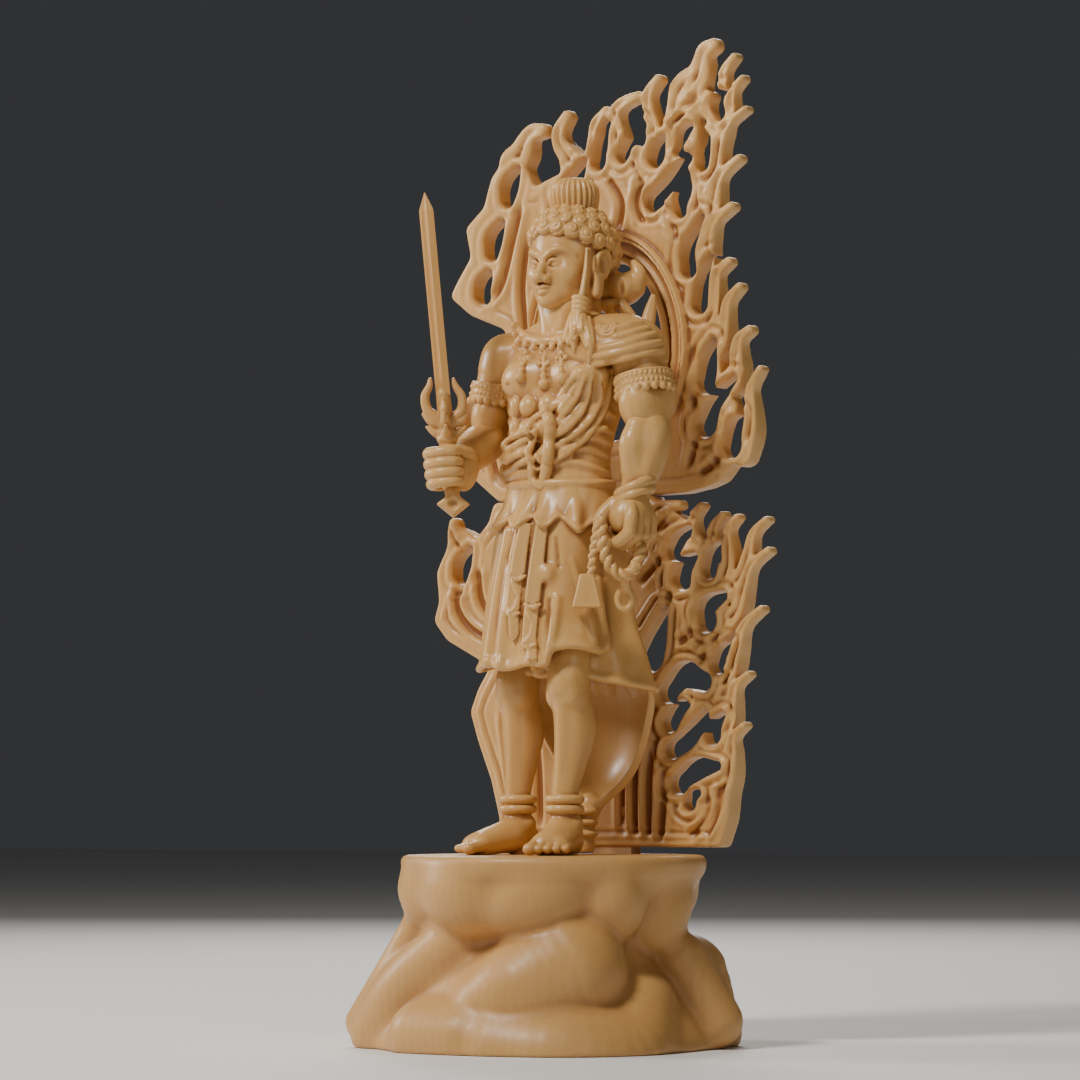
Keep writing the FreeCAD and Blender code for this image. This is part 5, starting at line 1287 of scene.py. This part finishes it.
# ------------------------------------------------------------------- the skirt
def skirt():
    clay = Clay((-30, -17, level(45)), (31, 29.3, level(110)), 0.37)

    def rear_folds(bearing, z):
        grow = 1 - ramp(z, level(50), level(100))
        b = np.radians(bearing)
        return (0.25 + 0.9 * grow) * (0.6 * np.sin(7 * b + 0.5) + 0.4 * np.sin(13 * b))

    def front_folds(bearing, z):
        grow = 1 - ramp(z, level(56), level(102))
        b = np.radians(bearing)
        return (0.15 + 0.5 * grow) * (0.7 * np.sin(7 * b + 1.2) + 0.3 * np.sin(13 * b + 0.4))

    rear = tower([(level(43), 1.5, 12.3, 26.8, 15.6), (level(49), 1.5, 12.2, 25.4, 15.1),
                  (level(56), 1.5, 12, 23.6, 14.5), (level(62), 1.5, 11.6, 21.8, 13.9),
                  (level(68), 1.5, 11.2, 20, 13.3), (level(78), 1.4, 10.4, 19, 13),
                  (level(90), 1, 9.4, 18.4, 13), (level(108), 0, 6.8, 16.6, 12)], rear_folds)
    front = tower([(level(50), -1.6, 0.9, 20, 15.8), (level(58), -1.6, 1.1, 19.6, 15.6),
                   (level(70), -1.6, 2.2, 19, 15.2), (level(85), -1.4, 3.8, 18.4, 14.6),
                   (level(97), -0.8, 5.2, 18, 13.8), (level(108), 0, 6.5, 16.6, 12)],
                  front_folds, 2.35)

    def hung(form, hem, thick):
        """A hollow skirt: open below, with a wall that thick near its hem."""
        def distance(x, y, z):
            d = form.distance(x, y, z)
            bearing = np.degrees(np.arctan2(y - 6, x))
            bottom = hem(bearing) + SOLE
            lip = 1.0 * np.exp(-((z - bottom - 1) / 1.8) ** 2)
            d = d - lip
            shell = np.maximum(d, -(d + thick) - 5 * ramp(z, level(62), level(70)))
            return smooth_max(shell, bottom - z, 1.2)
        return Form(form.low, form.high, distance)

    def rear_hem(bearing):
        aside = np.abs((bearing + 270) % 360 - 180)
        return 52 - 5.6 * ramp(aside, 55, 125) + 0.5 * np.sin(np.radians(bearing) * 5)

    def front_hem(bearing):
        left = ramp(bearing, -72, -61)
        wave = 0.7 * np.sin(np.radians(bearing) * 8)
        raised = 59.4 + 0.7 * np.sin(np.radians(bearing) * 7 + 1)
        return (54.2 + wave) * (1 - left) + raised * left

    clay.add(hung(rear, rear_hem, 2.4))
    clay.add(hung(front, front_hem, 2.2), 0.3)
    panel = tower([(level(54), 9.4, -1.6, 10.6, 11), (level(60), 9.4, -1.3, 10, 10.4),
                   (level(68), 9, 0, 9.4, 9.6), (level(80), 8.6, 2.4, 9, 9)])
    clay.add(hung(panel, front_hem, 2), 1.6)

    # folds of the front panels, hanging from the waist
    for rows in [
        [(-11.8, 94.9, 1.2), (-13.3, 86.6, 1.3), (-15.3, 74.8, 1.4), (-16.8, 63, 1.6),
         (-17.7, 56.6, 1.6)],
        [(-8.9, 94.9, 1), (-10.3, 87.8, 1.2), (-11.8, 77.8, 1.3), (-13.3, 66, 1.5),
         (-14.1, 56, 1.5)],
        [(2.6, 75.4, 0.8), (1.4, 66.6, 1.4), (-0.9, 56.6, 1.6)],
        [(7, 86.6, 0.5), (10, 77.8, 0.9), (12, 70.4, 1.1), (13.5, 63, 1.1)],
        [(14.7, 80.7, 0.9), (15.6, 71.9, 1.2), (17, 61.6, 1.4)],
    ]:
        clay.add(lay(clay, rows, -0.2), 1.4)
    for rows in [
        [(-10.3, 94.3, 0.4), (-11.8, 87.2, 0.6), (-13, 77.8, 0.5), (-13.6, 71.9, 0.3)],
        [(2.3, 93.1, 0.3), (2.6, 89, 0.6), (3.2, 84.8, 0.3)],
        [(0.3, 74.8, 0.4), (-0.6, 66, 0.8), (-2.1, 57.1, 0.9)],
    ]:
        clay.cut(lay(clay, rows, 0.1), 1.2)

    # two sash ends, each folded over itself twice, with a rolled lip at each fold
    bare = clay.copied()
    for outline, out in zip([
        [(-11.8, 71.9), (-8.6, 71.9), (-8.4, 64.5), (-9.2, 62.7), (-10.3, 62.1), (-11.4, 63.9)],
        [(-11.5, 82.2), (-7.1, 82.2), (-8.3, 70.7), (-12.4, 70.7)],
        [(-10.3, 81.9), (-7.1, 81.9), (-7.7, 77.2), (-8.3, 71.3), (-10.3, 70.4), (-12.1, 70.5),
         (-10, 72.7), (-9.3, 75.4), (-10.3, 78.1), (-10.9, 79.8)],
        [(-8.3, 97.2), (-4.7, 96.9), (-5.6, 91), (-6.7, 81.9), (-8.9, 81), (-11.2, 82.2),
         (-10.3, 88.7)],
        [(-6.5, 62.7), (-3.3, 62.7), (-3.1, 57.1), (-3.9, 53.9), (-5, 53.6), (-6.2, 56)],
        [(-6.9, 73.6), (-2.4, 73.6), (-3.6, 61.8), (-7.7, 61.8)],
        [(-6.2, 73.6), (-2.5, 73.6), (-3.1, 67.4), (-3.6, 61.8), (-5.9, 61), (-7.7, 61.7),
         (-5.6, 64.2), (-5, 67.4), (-6.2, 69.8), (-6.8, 71.6)],
        [(-3.6, 96.6), (0, 96.3), (-1.2, 85.1), (-2.4, 73.6), (-4.2, 72.7), (-6.8, 73.6),
         (-5.9, 81.3), (-4.7, 89.6)],
    ], (0.9, 0.3, 1.2, 2, 1.1, 0.5, 1.5, 2.3)):
        clay.add(plate(bare, outline, out), 0.15)
    for rows, out in zip([
        [(-11.2, 82.2, 0.55), (-8.9, 80.9, 0.7), (-6.7, 81.9, 0.55)],
        [(-12.1, 70.7, 0.5), (-10.3, 70.2, 0.6), (-8.4, 71.1, 0.45)],
        [(-6.8, 73.6, 0.55), (-4.2, 72.6, 0.75), (-2.4, 73.6, 0.55)],
        [(-7.7, 61.8, 0.5), (-5.9, 60.8, 0.6), (-3.6, 61.8, 0.45)],
    ], (2.3, 1.5, 2.6, 1.8)):
        clay.add(lay(bare, rows, out), 0.2)
    clay.add(egg(land(clay, 0, 82.5, 0), (2.4, 2.4, 2.8)), 1.5)

    # overskirt with a rolled, scalloped hem
    def pleats(bearing, z):
        grow = 1 - ramp(z, level(96), level(107))
        b = np.radians(bearing)
        return (0.2 + 1.5 * grow) * (0.6 * np.cos(11 * b + 0.9) + 0.35 * np.cos(19 * b))

    over = tower([(level(92), -0.6, 5.2, 21.4, 17), (level(97), -0.6, 5.4, 20.4, 16),
                  (level(102), -0.3, 6, 18.6, 14), (level(106), 0, 6.4, 17.4, 12.8),
                  (level(109.4), 0, 6.6, 17, 12.4)], pleats)

    def scallops(bearing):
        return 96.8 - 1.5 * np.cos(np.radians(bearing) * 11 + 0.9) - 1.6 * ramp(bearing, -60, -35)

    def overskirt(x, y, z):
        d = over.distance(x, y, z)
        edge = scallops(np.degrees(np.arctan2(y - 6, x))) + SOLE
        lip = 0.8 * np.exp(-((z - edge - 0.8) / 1.1) ** 2)
        return smooth_max(d - lip, edge - z, 1)

    clay.add(Form(over.low, over.high, overskirt), 0.2)
    clay.add(ring(at(0, 6.6, 108.8), 16.6, 12, 1.3), 0.5)
    figure_piece("skirt", clay)


def rear_drape():
    clay = Clay((-27, -4, level(0.5)), (30, 29.3, level(54)), 0.42)
    levels = [(12, 3, 15.5, 3, 3.5), (16, 3, 16, 8, 6.4), (20, 3, 16.4, 12, 9),
              (25, 3, 16, 16, 11.2),
              (32, 2.2, 14.8, 20.6, 13.2), (40, 1.6, 13.6, 24, 14.6), (46, 1.5, 12.7, 25.4, 14.9),
              (52, 1.5, 12.2, 23.4, 14), (56, 1.5, 12, 22, 13.4)]
    clay.add(tower([(level(z), *row) for z, *row in levels], lambda b,
                   z: 0.4 * np.sin(np.radians(b) * 6)))
    inside = [(level(z + 2.2), x, y - 0.5, a - 1.5, b - 1.2) for z, x, y, a, b in levels]
    clay.cut(tower(inside), 0.8)

    def ahead(x, y, z):
        """Ahead of two slanting planes that meet on the middle line."""
        rim = 10.5 - 0.39 * np.clip(z - level(25), -12, 30)
        return (y - (rim + 0.588 * np.abs(x - 2)) / 0.809 + 1.9) * 0.809

    clay.cut(Form((-30, -6, level(0)), (34, 30, level(56)), ahead), 0.8)
    clay.add(path([(2, 18, 15, 3.2), (1, 16, 7, 3.6), (0.6, 16, 2.2, 4)]), 2)
    for z in (6, 9.4, 12.6):
        clay.add(ring(at(0.8, 16, z), 3.9, 3.9, 0.9), 0.4)
    clay.keep_above(level(0.7), 0.4)
    figure_piece("rear_drape", clay)


# ---------------------------------------------------------------- legs and feet
def leg(side, name):
    """side is -1 for the right leg and 1 for the left."""
    x0, y0 = ((-12.2, 1.9), (9.6, -2.8))[side > 0]
    ax, ay = ((-12.8, 2.2), (9, -4.2))[side > 0]
    mx, my = (x0 + ax) / 2, (y0 + ay) / 2
    clay = Clay((x0 - 15, y0 - 33, level(0)), (x0 + 14, y0 + 13, level(66)), 0.36)
    clay.add(path([(x0, y0 + 3.4, 66, 5), (x0, y0 + 2, 60, 6), (x0, y0 - 0.2, 50, 6.4),
                   (x0 + 0.2 * side, y0 + 0.9, 44, 5.7), (x0 + 0.3 * side, y0 + 1.6, 36, 5.5), (mx,
                            my + 1.2, 26, 4.6), (ax, ay, 17, 3.9), (ax, ay, 9, 4.1)]))
    clay.add(egg(at(x0 + 0.4 * side, y0 - 3.6, 50.5), (4, 3.6, 4.6)), 2)
    for out in (-3.2, 3.2):
        clay.add(egg(at(x0 + out, y0 - 2.6, 46.2), (2.2, 2.6, 3.2)), 2)
    clay.add(path([(x0, y0 - 3.6, 44, 1.5), (mx, my - 3, 32, 1.3), (ax, ay - 2.6, 18, 1)]), 2)
    for out, drop in ((1, 0), (-1, 1)):
        clay.add(path([(x0 + 2.6 * out, y0 + 3.4, 41, 3),
                       (x0 + 2.4 * out, y0 + 3.6, 35 - drop, 3.4), (mx + 1.2 * out, my + 2.4,
                                26 - drop, 2.2)]), 2.5)
    for rise in (13.4, 16.2):
        clay.add(ring(at(ax, ay, rise), 4.5, 4.5, 1.35), 0.2)
    for bump in (-1, 1):
        clay.add(egg(at(ax + 4 * bump, ay + 0.6, 9.2), (1.6, 2, 2)), 1.2)
    splay, long = math.radians((-9, 19)[side > 0]), (1.08, 0.88)[side > 0]
    ahead = np.array([math.sin(splay), -math.cos(splay), 0])
    across = np.array([math.cos(splay), math.sin(splay), 0])
    base = at(ax, ay, 0)

    def foot(front, wide, up):
        return base + ahead * front * long + across * wide + np.array([0, 0, up])

    clay.add(egg(foot(-3.2, 0, 3.8), (4.6, 5, 4.6)), 2.5)
    clay.add(bone(foot(0, 0, 7.4), foot(14, -0.6 * side, 3.6), 4.3, 3.4), 3)
    clay.add(bone(foot(2, 1.8 * side, 4.2), foot(15, 2.8 * side, 2.6), 3.6, 2.9), 3)
    clay.add(bone(foot(4, -2.2 * side, 4.6), foot(16, -3.0 * side, 3), 3.2, 3), 3)
    reaches = (23.6, 23.2, 22.2, 20.8, 19)
    for i, reach in enumerate(reaches):
        wide = (-4.3 + 2.35 * i + (0 if i else -0.3)) * side
        thick = (1.9, 1.35, 1.3, 1.25, 1.2)[i]
        clay.add(bone(foot(reach - 6.5, wide * 0.95, 2.9), foot(reach - 2.4, wide, 2.2), thick,
                      thick * 0.9), 0.4)
        clay.add(egg(foot(reach - 1.2, wide, 1.9), (thick * 1.02, thick * 1.1, thick)), 0.25)
        clay.cut(egg(foot(reach - 0.6, wide, 1.9 + thick), (thick * 0.6, thick * 0.8, 0.25)), 0.15)
    clay.keep_above(SOLE, 0.5)
    figure_piece(f"{name}_leg", clay)


def figure():
    head()
    topknot()
    torso()
    side_lock()
    nape_bow()
    right_upper_arm()
    right_forearm()
    right_hand()
    left_upper_arm()
    left_forearm()
    left_hand()
    rope()
    weight()
    skirt()
    rear_drape()
    leg(-1, "right")
    leg(1, "left")
    sword()


# ------------------------------------------------- room, light and the camera
def studio():
    scene = bpy.context.scene
    world = bpy.data.worlds.new("soft_room")
    world.use_nodes = True
    sky = world.node_tree.nodes["Background"].inputs
    sky["Color"].default_value, sky["Strength"].default_value = (0.93, 0.95, 1, 1), 0.04
    scene.world = world

    bpy.ops.mesh.primitive_plane_add(size=1)
    floor = bpy.context.object
    floor.name = "floor"
    floor.scale = (8, 8, 1)
    pale = bpy.data.materials.new("pale_floor")
    pale.use_nodes = True
    paint = pale.node_tree.nodes["Principled BSDF"].inputs
    paint["Base Color"].default_value, paint["Roughness"].default_value = (0.8, 0.79, 0.77, 1), 0.7
    floor.data.materials.append(pale)

    def lamp(name, place, target, width, power, tint):
        light = bpy.data.lights.new(name, "AREA")
        light.size, light.energy, light.color = width, power, tint
        item = bpy.data.objects.new(name, light)
        item.location = place
        item.rotation_euler = (Vector(target) - Vector(place)).to_track_quat("-Z", "Y").to_euler()
        scene.collection.objects.link(item)

    lamp("key", (-0.14, -0.80, 1), (0, 0, 0.26), 0.2, 12.5, (1, 0.96, 0.9))
    lamp("side", (-0.95, -0.34, 0.5), (0, 0, 0.18), 0.25, 6, (1, 0.97, 0.93))
    lamp("fill", (1, -0.62, 0.62), (0, 0, 0.24), 0.5, 1.7, (1, 0.94, 0.87))
    lamp("back", (-0.6, 0.85, 0.75), (0, 0, 0.2), 0.5, 7, (1, 0.98, 0.95))

    lens = bpy.data.cameras.new("camera")
    lens.sensor_width, lens.lens, lens.shift_x = 36, 142.8, -0.0074
    camera = bpy.data.objects.new("camera", lens)
    camera.location = VIEW_FROM * MM
    camera.rotation_euler = (math.radians(90 + VIEW_RISE), 0, math.radians(VIEW_BEARING))
    scene.collection.objects.link(camera)
    scene.camera = camera


studio()
pedestal()
aureole()
figure()

for node in NODES.values():
    if not node.hide_render:
        node.data.materials.clear()
        node.data.materials.append(DOWEL_WOOD)
